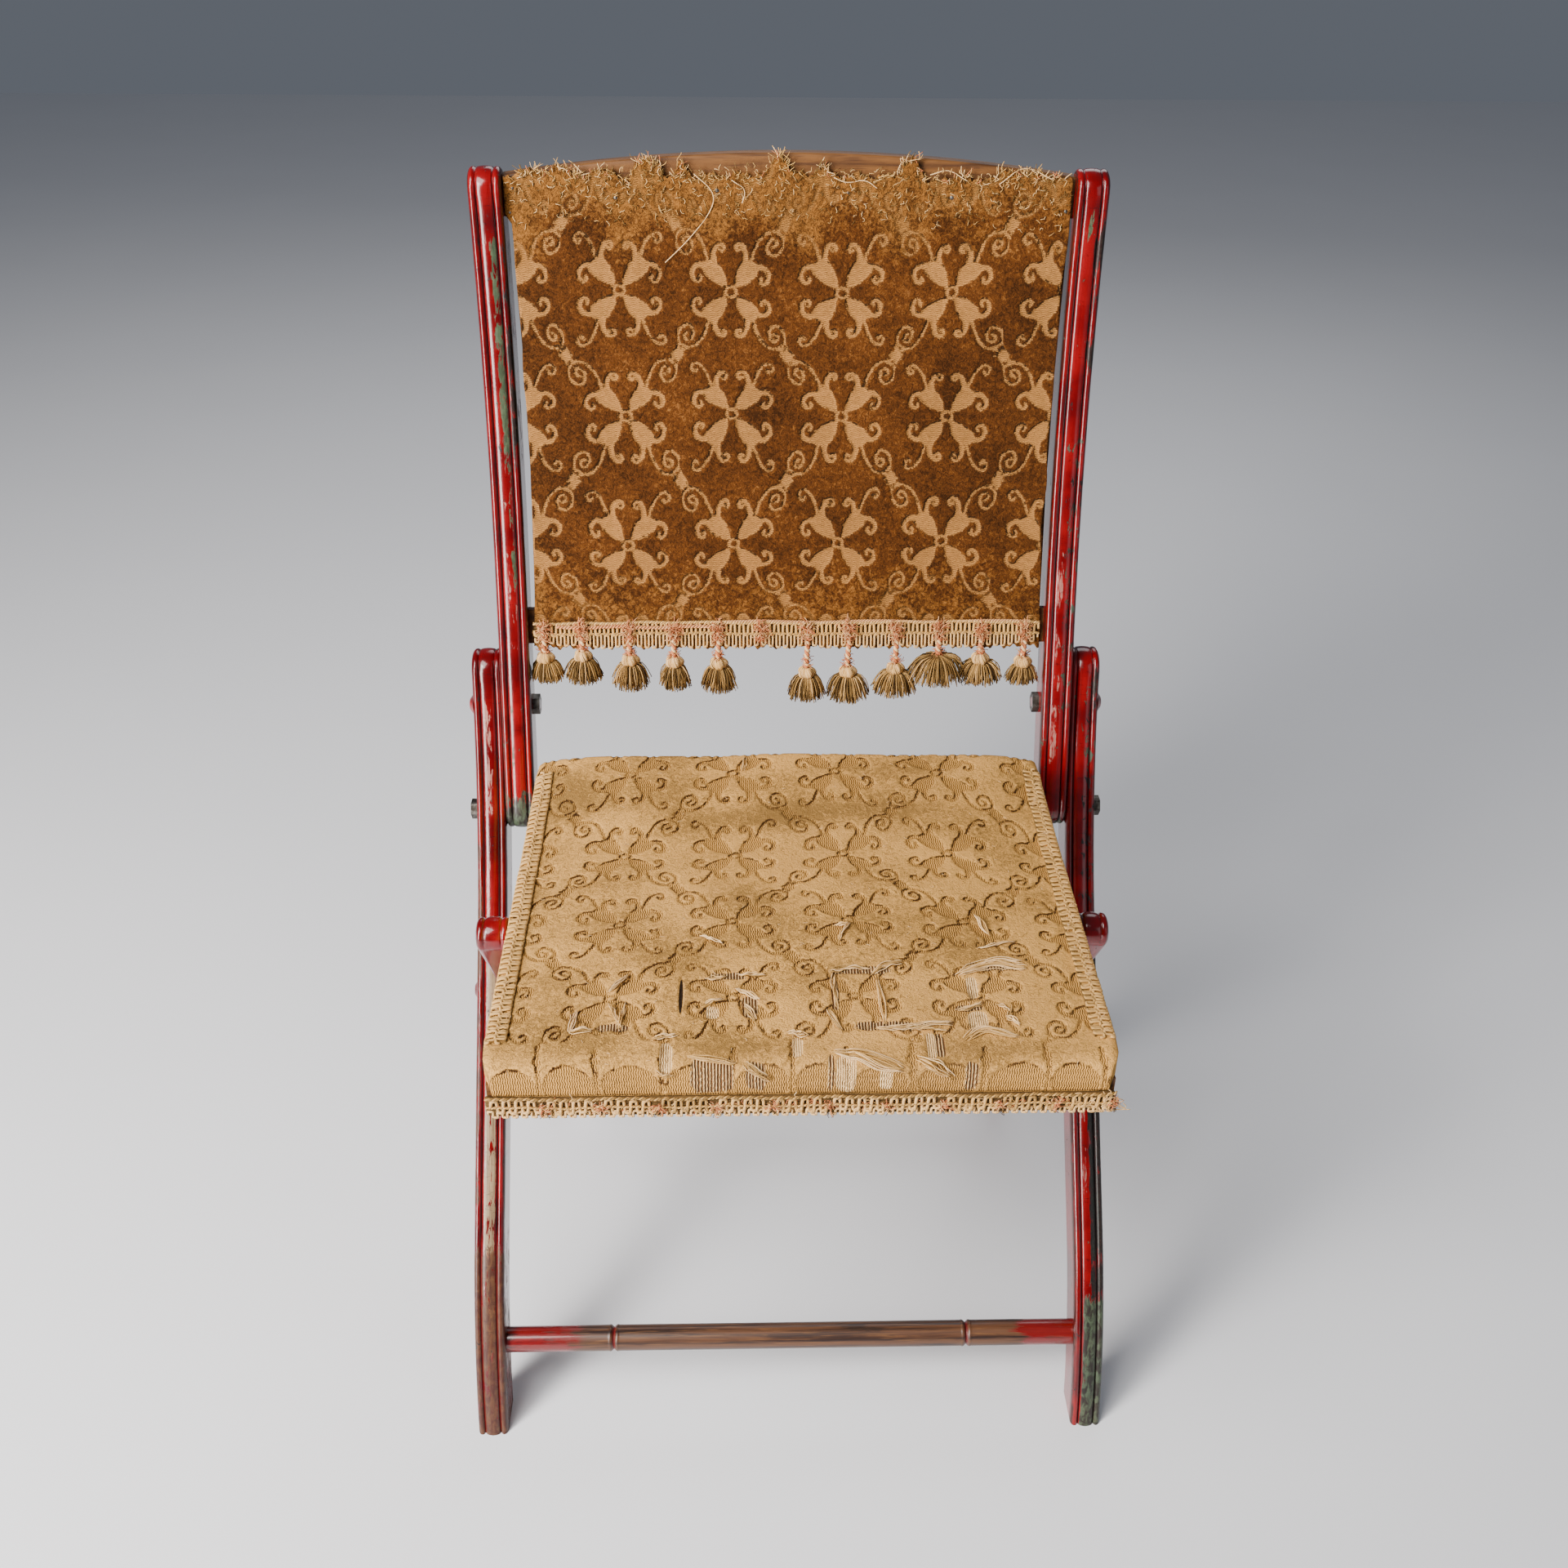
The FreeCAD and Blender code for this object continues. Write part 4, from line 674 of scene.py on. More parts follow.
def worn_wood_finish(colours):
    """Turned bar: brown rubbed wood with dark and pale streaks along it, red lacquer left at its
    ends and in its rings."""
    finish = Finish("rubbed_brown_wood")
    place = finish.place()
    grain = finish.streak(place, (7.0, 230.0, 230.0), 5.0, 0.7)
    fine = finish.streak(place, (30.0, 800.0, 800.0), 3.0, 0.6)
    cloud = finish.noise(place, 20.0, 3.0, 0.6)
    brown = finish.mix(grain.rise(0.36, 0.62), tone(30, 13, 8), colours.rubbed)
    brown = finish.mix(fine.rise(0.54, 0.72) * 0.4, brown, tone(136, 92, 48))
    ends = finish.part(place, "X").size().rise(0.13, 0.2)
    red = (cloud * 0.8 + ends * 0.42 + (grain - 0.5) * 0.6).rise(0.64, 0.76)
    colour = finish.mix(red * 0.9, brown, finish.mix(fine, colours.lacquer_deep, colours.lacquer))
    dark = finish.streak(place, (16.0, 90.0, 90.0), 4.0, 0.65).rise(0.58, 0.68)
    colour = finish.mix(dark * 0.7, colour, tone(22, 13, 10))
    colour = finish.mix(finish.trait("hollow") * 0.9, colour, tone(96, 8, 12))
    height = grain * 0.5 + fine * 0.35 + red * 0.4
    return finish.surface(Base_Color=colour, Roughness=0.42 - red * 0.16, Coat_Weight=0.15 + red * 0.4,
                          Coat_Roughness=0.12, Normal=finish.bump(height, 0.0004, 0.55))


def bare_wood_finish():
    """Plain waxed wood with grain along the rail and dark pores."""
    finish = Finish("plain_rail_wood")
    place = finish.place()
    grain = finish.streak(place, (8.0, 150.0, 150.0), 5.0, 0.62, 0.6)
    pore = finish.streak(place, (50.0, 850.0, 850.0), 2.0, 0.5)
    colour = finish.mix(grain.rise(0.3, 0.7), tone(62, 36, 15), tone(112, 72, 34))
    colour = finish.mix(pore.rise(0.56, 0.7) * 0.6, colour, tone(60, 34, 18))
    return finish.surface(Base_Color=colour, Roughness=0.55, Specular_IOR_Level=0.25,
                          Normal=finish.bump(grain + pore * 0.4, 0.0004, 0.45))


def steel_finish():
    """Dull steel with fine scratches and brown stains."""
    finish = Finish("dull_steel")
    place = finish.place()
    stain = finish.noise(place, 160.0, 4.0, 0.6)
    scratch = finish.streak(place, (4000.0, 600.0, 600.0), 2.0, 0.5)
    colour = finish.mix(stain.rise(0.35, 0.65), tone(46, 40, 34), tone(104, 100, 94))
    return finish.surface(Base_Color=colour, Metallic=0.85, Roughness=0.42 + (scratch - 0.5) * 0.2,
                          Normal=finish.bump(scratch, 0.0001, 0.4))


def lining_finish(colours):
    """Plain woven lining, brown and a little stained."""
    finish = Finish("lining_weave")
    place = finish.place()
    weave = (finish.part(place, "X") * 5200.0).wave() * (finish.part(place, "Z") * 5200.0).wave()
    cloud = finish.noise(place, 14.0, 4.0, 0.6)
    slub = finish.streak(place, (30.0, 900.0, 900.0), 3.0, 0.6)
    dark = finish.shade(colours.lining, 0.62)
    colour = finish.mix(cloud.rise(0.3, 0.7), dark, colours.lining)
    colour = finish.mix(slub.rise(0.55, 0.7) * 0.4, colour, tone(166, 140, 100))
    colour = finish.shade(colour, 0.86 + weave * 0.14)
    return finish.surface(Base_Color=colour, Roughness=0.92, Normal=finish.bump(weave + slub, 0.0003, 0.6))


def webbing_finish():
    """Jute tape: coarse plain weave."""
    finish = Finish("jute_tape")
    place = finish.place()
    weave = (finish.part(place, "X") * 3100.0).wave() * (finish.part(place, "Y") * 3100.0).wave()
    fibre = finish.noise(place, 900.0, 3.0, 0.7)
    colour = finish.mix(fibre.rise(0.3, 0.7), tone(122, 94, 58), tone(186, 154, 104))
    colour = finish.shade(colour, 0.82 + weave * 0.18)
    return finish.surface(Base_Color=colour, Roughness=0.95, Normal=finish.bump(weave + fibre, 0.0005, 0.7))


def velvet_finish(name, pile_tone, motif_tone, shadow_tone, aged, contrast, dark_share, rib_across):
    """Stamped velvet: a cut pile ground and flat ribbed motifs. Painted shadow strokes stand where the pile
    would throw its shade into a motif (attribute lee), the nap lies in lighter and darker clouds
    (attribute cloud), and worn spots show the pale canvas and its threads (attribute bare)."""
    finish = Finish(name)
    cloth, reach = finish.course("cloth"), finish.trait("motif")
    across, along = finish.part(cloth, "X"), finish.part(cloth, "Y")
    pile = finish.noise(cloth, 950.0, 3.0, 0.75)
    tuft = finish.noise(cloth, 330.0, 4.0, 0.7, 0.8)
    nap = finish.noise(cloth, 90.0, 4.0, 0.65)
    edge = reach + (pile - 0.5) * 3.0 + (tuft - 0.5) * 5.0
    inside = edge.rise(0.3, -0.3)
    speck = (pile - 0.5) * 3.6 + (tuft - 0.5) * 4.4
    shade = finish.trait("cloud") * 0.22 + speck * 0.5 + (nap - 0.5) * contrast
    ground = finish.mix(shade.rise(-0.6, 0.5), finish.shade(pile_tone, dark_share), pile_tone)
    ground = finish.mix(shade.rise(0.2, 0.95) * 0.45, ground, motif_tone)
    run = across if rib_across else along
    other = along if rib_across else across
    rib = (run * 4300.0 + (other * 1250.0).wave() * 1.2 + (nap - 0.5) * 4.0).wave()
    flat = rib * 0.42 + (pile - 0.5) * 1.8 + (tuft - 0.5) * 2.0 + finish.trait("cloud") * 0.25
    motif = finish.mix(flat.rise(-0.75, 0.5), finish.shade(motif_tone, 0.5), motif_tone)
    colour = finish.mix(inside, ground, motif)
    # Painted shadow: a dark band along the motifs' edges, kept to their side away from the light by attribute
    # lee and broken by noise, mixed in with the shadow tone.
    rim = (reach + (tuft - 0.5) * 3.0 + (nap - 0.5) * 3.0).size().rise(1.15, 0.3)
    rim = rim * (finish.trait("lee") * 0.7 + (nap - 0.5) * 4.0 + (tuft - 0.5) * 2.0).rise(0.15, 0.6)
    colour = finish.mix(rim * 0.95, colour, shadow_tone)
    age = finish.trait("faded") + (tuft - 0.5) * 1.6 + (nap - 0.5) * 1.2
    old = finish.mix((speck + (nap - 0.5) * 2.0).rise(-0.8, 0.8), finish.shade(aged, 0.3), aged)
    colour = finish.mix(age.rise(0.15, 1.0) * 0.72, colour, old)
    bare = (finish.trait("bare") + (nap - 0.5) * 0.5 + (tuft - 0.5) * 0.3).rise(0.5, 0.56)
    thread = (across * 4600.0 + (nap - 0.5) * 2.0).wave()
    canvas = finish.mix(thread.rise(-0.9, 0.6), tone(196, 146, 88), tone(240, 200, 140))
    colour = finish.mix(bare, colour, canvas)
    weft = (finish.trait("thread") + (nap - 0.5) * 0.7 + (tuft - 0.5) * 0.4).rise(0.5, 0.58)
    cords = (across * 3300.0 + (nap - 0.5) * 5.0).wave()
    worn = finish.mix(cords.rise(-0.7, 0.5), tone(96, 58, 30), tone(212, 172, 116))
    colour = finish.mix(weft, colour, worn)
    colour = finish.mix(finish.trait("slit").rise(0.45, 0.6), colour, tone(30, 16, 8))
    height = (pile * 0.7 + tuft * 1.1) * (1.0 - inside * 0.5) + rib * inside * 0.3
    height = height + nap * 0.6 + thread * bare * 0.2 + cords * weft * 0.5
    return finish.surface(Base_Color=colour, Roughness=0.95, Specular_IOR_Level=0.08, Sheen_Weight=0.05,
                          Sheen_Tint=(0.95, 0.7, 0.4, 1.0), Normal=finish.bump(height, 0.0016, 1.0))


def yarn_finish(name, tints):
    """Twisted yarn: its colour runs through the tints with the cord's own tint, with fibres and dust."""
    finish = Finish(name)
    place = finish.place()
    fibre = finish.noise(place, 2100.0, 3.0, 0.7)
    cloud = finish.noise(place, 120.0, 3.0, 0.6)
    stops = [(number / (len(tints) - 1), tuple(colour)) for number, colour in enumerate(tints)]
    base = finish.node("ValToRGB", {"stops": stops}, {0: finish.trait("tint") + (cloud - 0.5) * 0.16})
    colour = finish.shade(base, 0.45 + fibre * 0.9)
    return finish.surface(Base_Color=colour, Roughness=0.82, Specular_IOR_Level=0.15,
                          Normal=finish.bump(fibre, 0.0004, 0.8))


def yarn_tints(colours):
    """The yarns' shared ramp: dark, olive, straw, pale, salmon and pink."""
    return (tone(52, 34, 18), colours.brush, colours.straw, tone(234, 194, 140), colours.salmon,
            tone(184, 92, 66))


# Velvet motif: one quarter of a cell 76 mm wide and 100 mm tall, mirrored both ways

PETAL = ((2.6, 3.6), (3.2, 10.0), (5.4, 17.0), (9.0, 22.0), (13.5, 23.6), (17.6, 21.8), (20.2, 18.4),
         (19.4, 13.6), (14.5, 8.4), (8.2, 4.6))
TALL_CURL = ((12.2, 20.0), (12.8, 27.0), (12.0, 32.5), (9.8, 37.0), (6.2, 38.2), (3.8, 35.0), (5.4, 31.6),
             (7.8, 33.4))
TALL_WIDTHS = (3.2, 1.9, 1.7, 1.5, 1.4, 1.2, 1.1, 1.0)
SIDE_CURL = ((16.5, 17.0), (21.5, 20.4), (26.2, 20.0), (29.8, 15.6), (29.4, 9.6), (26.0, 6.4), (22.8, 8.6),
             (24.2, 11.8))
SIDE_WIDTHS = (3.2, 2.0, 1.8, 1.6, 1.5, 1.3, 1.1, 1.0)
LONG_STEM = ((12.4, 19.4), (15.4, 22.2), (17.1, 29.8), (20.5, 38.3), (25.6, 44.0), (30.7, 44.9),
             (36.2, 42.0), (38.0, 36.4), (35.8, 30.2), (30.7, 26.0), (26.4, 29.3), (26.0, 35.4),
             (29.0, 39.7), (32.4, 38.3), (32.4, 34.5), (29.4, 33.1))
SHORT_STEM = ((13.5, 20.0), (16.4, 29.3), (19.5, 37.5), (24.3, 42.5), (28.5, 41.6), (29.4, 36.9),
              (26.4, 34.0), (25.0, 37.0))
LINK = ((30.7, 44.5), (34.5, 46.0), (38.0, 50.0))


def rounded_path(points, rounds=2):
    """Corner cutting: each round replaces a corner by two points a quarter of the way along."""
    points = np.asarray(points, dtype=float)
    for _ in range(rounds):
        near = points[:-1] * 0.75 + points[1:] * 0.25
        far = points[:-1] * 0.25 + points[1:] * 0.75
        middle = np.stack([near, far], axis=1).reshape(-1, points.shape[1])
        points = np.concatenate([points[:1], middle, points[-1:]])
    return points


def stroke_reach(across, along, path, widths):
    """Distance to a line of changing half width, negative inside it."""
    widths = np.broadcast_to(np.asarray(widths, dtype=float), (len(path),))
    chain = rounded_path(np.column_stack([path, widths]))
    nearest = np.full(across.shape, 99.0)
    for (x0, y0, w0), (x1, y1, w1) in zip(chain, chain[1:]):
        step_x, step_y = x1 - x0, y1 - y0
        share = ((across - x0) * step_x + (along - y0) * step_y) / (step_x ** 2 + step_y ** 2 + 1e-9)
        share = bound(share)
        gap = np.hypot(across - x0 - share * step_x, along - y0 - share * step_y)
        nearest = np.minimum(nearest, gap - (w0 + (w1 - w0) * share))
    return nearest


def leaf_reach(across, along, corners):
    """Distance to a rounded closed outline, negative inside it by the even-odd rule."""
    chain = rounded_path(tuple(corners) + (corners[0],))
    gap = np.full(across.shape, 99.0)
    inside = np.zeros(across.shape, dtype=bool)
    for (x0, y0), (x1, y1) in zip(chain, chain[1:]):
        step_x, step_y = x1 - x0, y1 - y0
        share = ((across - x0) * step_x + (along - y0) * step_y) / (step_x ** 2 + step_y ** 2 + 1e-9)
        share = bound(share)
        gap = np.minimum(gap, np.hypot(across - x0 - share * step_x, along - y0 - share * step_y))
        if y0 != y1:
            crosses = ((y0 > along) != (y1 > along)) & (across < x0 + (along - y0) / (y1 - y0) * step_x)
            inside ^= crosses
    return np.where(inside, -gap, gap)


def motif_reach(across, along, column_phase, column_pitch, row_places, first_kind):
    """Distance in millimetres to the velvet's motif at places on the cloth, negative inside it.
    Motifs sit on a lattice; every second one sends long stems to the corners of its cell."""
    numbers = np.arange(len(row_places))
    places = np.asarray(row_places, dtype=float)
    row = np.clip(np.round(np.interp(along, places, numbers)), 0, len(places) - 1).astype(int)
    column = np.round((across - column_phase) / column_pitch)
    off = along - places[row]
    before = np.where(row > 0, places[row] - places[np.maximum(row - 1, 0)], places[1] - places[0])
    after = np.where(row < len(places) - 1, places[np.minimum(row + 1, len(places) - 1)] - places[row],
                     places[-1] - places[-2])
    tall = np.abs(off) / np.where(off > 0, after, before) * 100
    wide = np.abs(across - column_phase - column * column_pitch) / column_pitch * 76
    wider, taller = wide * 1.1, tall * 1.08
    reach = np.minimum(leaf_reach(wide, tall, PETAL), stroke_reach(wider, taller, TALL_CURL, TALL_WIDTHS))
    reach = np.minimum(reach, stroke_reach(wider, taller, SIDE_CURL, SIDE_WIDTHS))
    long_one = np.minimum(stroke_reach(wide, tall, LONG_STEM, 0.8), stroke_reach(wide, tall, LINK, 1.0))
    short_one = stroke_reach(wide, tall, SHORT_STEM, 0.8)
    reach = np.minimum(reach, np.abs(np.hypot(wide, tall) - 3.7) - 0.9)
    kind = (row + column.astype(int) + first_kind) % 2
    reach = np.minimum(reach, np.where(kind == 0, long_one, short_one))
    edge_x, edge_y = np.abs(wide - 38), np.abs(tall - 50)
    diamond = ((edge_x / 4.8) ** 0.9 + (edge_y / 7.5) ** 0.9 - 1) * 3
    return np.minimum(reach, diamond)


def ripple(x, y, seed, scale):
    """Slow smooth waves of mixed direction, about -1 to 1."""
    draw = np.random.default_rng(seed)
    total = np.zeros(np.broadcast(x, y).shape)
    for _ in range(7):
        turn, phase = draw.uniform(0, 2 * math.pi, 2)
        pace = draw.uniform(0.5, 1.6) * scale
        total = total + np.sin((x * math.cos(turn) + y * math.sin(turn)) * pace + phase)
    return total / 3.2


# Back: velvet, lining, crest rail, band and tassels

CREST_FACE_Y, SLOPE_TOP_Z = 203.7, 832.0
SLOPE_LOW_Y, SLOPE_LOW_Z = 157.5, 557.0
BACK_HALF = 192.0
CREST_HALF, CREST_FOOT, CREST_END, CREST_RISE = 197.2, 832.0, 860.0, 15.0
BAND_LEAN = 18.0


def back_line(down):
    """Depth and height of the cloth's face this far down from its top edge: level against the
    crest rail, then straight to the lower rail and along its slope."""
    high = 28.0
    slope = np.array([SLOPE_LOW_Y - CREST_FACE_Y, SLOPE_LOW_Z - SLOPE_TOP_Z])
    length = np.linalg.norm(slope)
    step = slope / length
    low_step = -ahead(BAND_LEAN, 1.0)
    on_slope = np.clip(down - high, 0, length)
    on_low = np.clip(down - high - length, 0, None)
    y = CREST_FACE_Y + step[0] * on_slope + low_step[0] * on_low
    z = CREST_END - np.minimum(down, high) + step[1] * on_slope + low_step[1] * on_low
    return y, z


def on_back(x, z, out=0.0):
    """Place on the back's face at this height, out in front of it."""
    y = np.interp(z, (520, 557, 832, 900), (145.5, 157.5, 203.7, 203.7)) - out
    return points_of(x, y, z)


def cloth_top(x):
    """How far the ragged top edge of the velvet stands above (negative) the rail's end height:
    it follows the arch, lower between the tufts that still reach its top."""
    arch = CREST_RISE * (1 - (x / CREST_HALF) ** 2)
    tufts = np.zeros(x.shape)
    for middle, wide, rise in ((-172, 34, 1.0), (-128, 9, 0.7), (-101, 8, 1.0), (-92, 6, 0.8), (-74, 5, 0.6),
                               (-7, 6, 1.0), (22, 5, 0.4), (82, 8, 0.95), (168, 34, 0.9), (118, 6, 0.5)):
        tufts = np.maximum(tufts, rise * np.exp(-((x - middle) / wide) ** 4))
    rag = 1.7 * np.sin(x * 0.31) + 1.2 * np.sin(x * 0.83 + 1.2) + 0.9 * np.sin(x * 1.9 + 0.4)
    return -(arch - (1 - tufts) * 13.0 + rag * 0.9)


def back_cloth(sizes):
    """The velvet of the back as a closed sheet: a fine grid over width and height in front, laid on
    the rails' faces and hollowed between them, its ground raised by the pile; behind it a grid with
    the same columns and six rows, the edges closed by one wall for each of its rows."""
    columns, rows = 330, 274
    across = np.linspace(-1, 1, columns)[None, :]
    share = np.linspace(0, 1, rows)[:, None]
    x0 = across * (BACK_HALF - 1.0)
    top = cloth_top(x0)
    down = top + share * (338.0 + 1.2 * np.sin(x0 * 0.5) + 0.9 * np.sin(x0 * 1.3) - top)
    left = np.interp(down, (26, 31, 80, 180, 250, 338), (-5.5, -1.5, 0, 1.2, 1.6, -2.4))
    right = np.interp(down, (26, 60, 180, 250, 338), (-4.5, -2.5, -0.5, 0.5, -3.4))
    pull = np.where(across < 0, left, right) * np.sign(across) * np.abs(across) ** 6
    x = x0 - pull + 0.9 * ripple(down, x0 * 0.2, 3, 0.09) * np.abs(across) ** 8
    y, z = back_line(down)
    z = np.where(down < 0, CREST_END - down, z)
    warp_x = x + 1.3 * ripple(x, down, 11, 0.03) + 0.5 * ripple(x, down, 13, 0.16)
    warp_s = down + 1.3 * ripple(x, down, 12, 0.03) + 0.5 * ripple(x, down, 14, 0.16)
    motif = motif_reach(warp_x, warp_s, -41.0, 78.3, (-14.0, 76.0, 163.4, 257.3, 344.0), 1) - 0.3
    raised = 0.5 + 0.5 * np.tanh(motif / 0.8)
    sunk = np.clip((324 - down) / 8, 0.25, 1)
    hollow = 2.2 * np.sin(np.pi * bound((down - 28) / 280)) * (1 - across ** 2)
    slack = 0.5 * ripple(x, down, 5, 0.045) * bound(down / 40) * bound((320 - down) / 40)
    base = y + hollow + slack
    front = points_of(x, base - raised * sizes.relief / MM * sunk, z)
    kept = np.array([0, 26, 96, 170, 247, rows - 1])
    rear = points_of(x, base + 1.2, z)[kept]
    count = rows * columns
    faces = [grid_faces(rows, columns), grid_faces(len(kept), columns, count)[:, ::-1]]
    for line in (0, len(kept) - 1):
        near = kept[line] * columns + np.arange(columns)
        far = count + line * columns + np.arange(columns)
        wall = np.stack([near[:-1], far[:-1], far[1:], near[1:]], axis=-1)
        faces.append(wall if line == 0 else wall[:, ::-1])
    for column in (0, columns - 1):
        for line in range(len(kept) - 1):
            near = np.arange(kept[line], kept[line + 1] + 1) * columns + column
            far = count + np.array([line + 1, line]) * columns + column
            wall = np.concatenate([near, far])
            faces.append((wall[::-1] if column == 0 else wall)[None])
    points = np.concatenate([front.reshape(-1, 3), rear.reshape(-1, 3)])
    # Painted shadow: lee marks the motif edges on the side away from the light at the upper left, where the
    # velvet's finish paints dark strokes.
    slope_s, slope_x = np.gradient(raised, axis=0), np.gradient(raised, axis=1)
    lee = np.clip((0.8 * -slope_s - 0.6 * slope_x) * 2.2, -1, 1)
    cloud = 0.55 * ripple(x, down, 23, 0.05) + 0.45 * ripple(x, down, 24, 0.13)
    traits = {"motif": motif, "faded": faded_back(x, down), "bare": 0 * motif, "lee": lee, "cloud": cloud}
    traits = {key: np.concatenate([layer.ravel(), layer[kept].ravel()]) for key, layer in traits.items()}
    cloth = points_of(x, down, 0) * MM
    cloth = np.concatenate([cloth.reshape(-1, 3), cloth[kept].reshape(-1, 3)])
    return weld(mesh_from("back_velvet", points * MM, faces, traits, {"cloth": cloth}), 1e-7)


def faded_back(x, down):
    """How faded the back velvet is: golden along the crest, less above the band and at the hem."""
    crest = bound(1.2 - down / 52 + 0.3 * ripple(x, down, 21, 0.07))
    band = bound((down - 235) / 80) * 0.62
    side = bound(1 - (x + 192) / 12) * 0.35
    return bound(crest + band + side + 0.1 * ripple(x, down, 22, 0.03) - 0.1)


def back_lining():
    """Lining behind the rails: a closed sheet from the crest to the lower rail, pulled a little
    hollow between them."""
    columns, rows = 80, 70
    across = np.linspace(-1, 1, columns)[None, :]
    share = np.linspace(0, 1, rows)[:, None]
    x = across * 191.5 + 0 * share
    down = 2.0 + share * 334.0 + 1.5 * ripple(x, x * 0, 31, 0.08) * (share < 0.01)
    y, z = back_line(down)
    hollow = -1.6 * np.sin(np.pi * share) * (1 - across ** 2)
    slack = 0.6 * ripple(x, down, 33, 0.05)
    face = y + 16.4 + hollow + slack * np.sin(np.pi * share)
    front = points_of(x, face, z)
    rear = points_of(x, face + 1.0, z)
    points, faces = shell_of(front, rear)
    return weld(mesh_from("back_lining_cloth", points * MM, faces), 1e-7)


def shell_of(front, rear):
    """Points and faces of a thin closed sheet from its front grid and rear grid of one shape."""
    rows, columns = front.shape[:2]
    count = rows * columns
    faces = [grid_faces(rows, columns), grid_faces(rows, columns, count)[:, ::-1]]
    rim = rim_of(rows, columns)
    after = np.roll(rim, -1)
    faces.append(np.stack([rim, rim + count, after + count, after], axis=-1))
    return np.concatenate([front.reshape(-1, 3), rear.reshape(-1, 3)]), faces


def rim_of(rows, columns):
    """Numbers of a grid's edge points in order round it."""
    return np.concatenate([np.arange(columns), np.arange(1, rows) * columns + columns - 1,
                           (rows - 1) * columns + np.arange(columns - 2, -1, -1),
                           np.arange(rows - 2, 0, -1) * columns])


def crest_board():
    """Crest rail: a rounded board section carried across the chair, its top edge an arch."""
    stations, sides, power = 90, 40, 0.28
    middle_y, half_thick = 213.1, 7.0
    x = np.linspace(-CREST_HALF, CREST_HALF, stations)
    top = CREST_END + CREST_RISE * (1 - (x / CREST_HALF) ** 2)
    turn = around(sides)
    out = np.sign(np.cos(turn)) * np.abs(np.cos(turn)) ** power
    up = np.sign(np.sin(turn)) * np.abs(np.sin(turn)) ** power
    half_high = (top - CREST_FOOT) / 2
    rows = points_of(x[:, None], middle_y + out * half_thick, CREST_FOOT + half_high[:, None] * (1 + up))
    return weld(mesh_from("crest_rail_board", rows * MM, tube_faces(stations, sides)), 1e-6, 40)


# Tints of the yarns, as places on their shared ramp, which ends in pink at 1
DARK, OLIVE, STRAW, PALE, SALMON = 0.0, 0.2, 0.4, 0.6, 0.8

# Places along the crest: middle, how wide the tuft is, how many hairs it has
CREST_TUFTS = ((-176, 7, 26), (-157, 6, 22), (-148, 5, 14), (-128, 6, 10), (-99, 6, 26), (-90, 4, 12),
               (-74, 5, 8), (-7, 5, 26), (23, 5, 8), (80, 6, 24), (118, 5, 10), (146, 6, 14), (160, 6, 18),
               (176, 8, 22), (0, 190, 150))
CREST_THREADS = (((-66, 862), (-51, 850), (-55, 836), (-69, 820), (-87, 804)),
                 ((144, 856), (160, 869), (181, 859)), ((96, 862), (108, 866), (122, 858)),
                 ((-40, 858), (-30, 852), (-33, 843)), ((30, 860), (40, 856), (52, 859), (60, 853)))
CREST_NAILS = ((-193, 836), (192, 838), (-190, 852), (-120, 846), (-50, 851), (40, 850), (112, 847))


def crest_trim(draw):
    """Frayed top of the velvet: hairs in tufts along its edge, curled fibres that lie on its face
    below the edge, and long loose threads."""
    skein = Skein()
    share = np.linspace(0, 1, 6)[None, :]
    for middle, wide, count in CREST_TUFTS:
        x = middle + draw.uniform(-1, 1, (count, 1)) * wide
        tall = draw.uniform(2.5, 8.0, (count, 1)) * (1.0 if wide < 100 else 0.6)
        z = CREST_END - cloth_top(x) - 2.5 + tall * share
        sway = draw.normal(0, 1.6, (count, 1)) * np.sin(share * draw.uniform(2, 5, (count, 1)))
        lean = draw.normal(0, 2.4, (count, 1)) * share
        out = draw.uniform(0.4, 2.6, (count, 1)) * np.sin(share * 2.4) + 0.5
        skein.add(on_back(x + sway + lean, z, out), draw.uniform(0.16, 0.34, (count, 1)), 3,
                  draw.choice((OLIVE, STRAW, PALE, SALMON), count, p=(0.3, 0.4, 0.2, 0.1)))
    fibres = 700
    x = draw.uniform(-BACK_HALF, BACK_HALF, (fibres, 1))
    z = 857 - 34 * draw.uniform(0, 1, (fibres, 1)) ** 1.5
    x, z = wander(x, z + 0.6 * 14 * (1 - (x / BACK_HALF) ** 2), 0.7, 0.9, draw)
    skein.add(on_back(x, z, 1.0 + 1.5 * draw.uniform(0, 1, (fibres, 1)) * np.sin(share * 3)), 0.24, 3,
              draw.choice((OLIVE, STRAW, STRAW + 0.1), fibres))
    for corners in CREST_THREADS:
        line = thread(corners, 40)
        out = 1.6 + 1.0 * np.sin(np.linspace(0, 9, 40))
        skein.add(on_back(*line.T, out), 0.34, 4, PALE)
    return skein.make("crest_fray")


def crest_nails():
    """Upholstery nails: low domes, each a ring of points carried from under its edge to its top."""
    skein = Skein()
    out = np.array([-0.4, 0.3, 0.8, 1.25, 1.45])
    radius = np.array([1.7, 1.8, 1.5, 0.8, 0.12])
    for x, z in CREST_NAILS:
        skein.add(on_back(x, z, out), radius[None], 12, DARK)
    return skein.make("crest_nails")


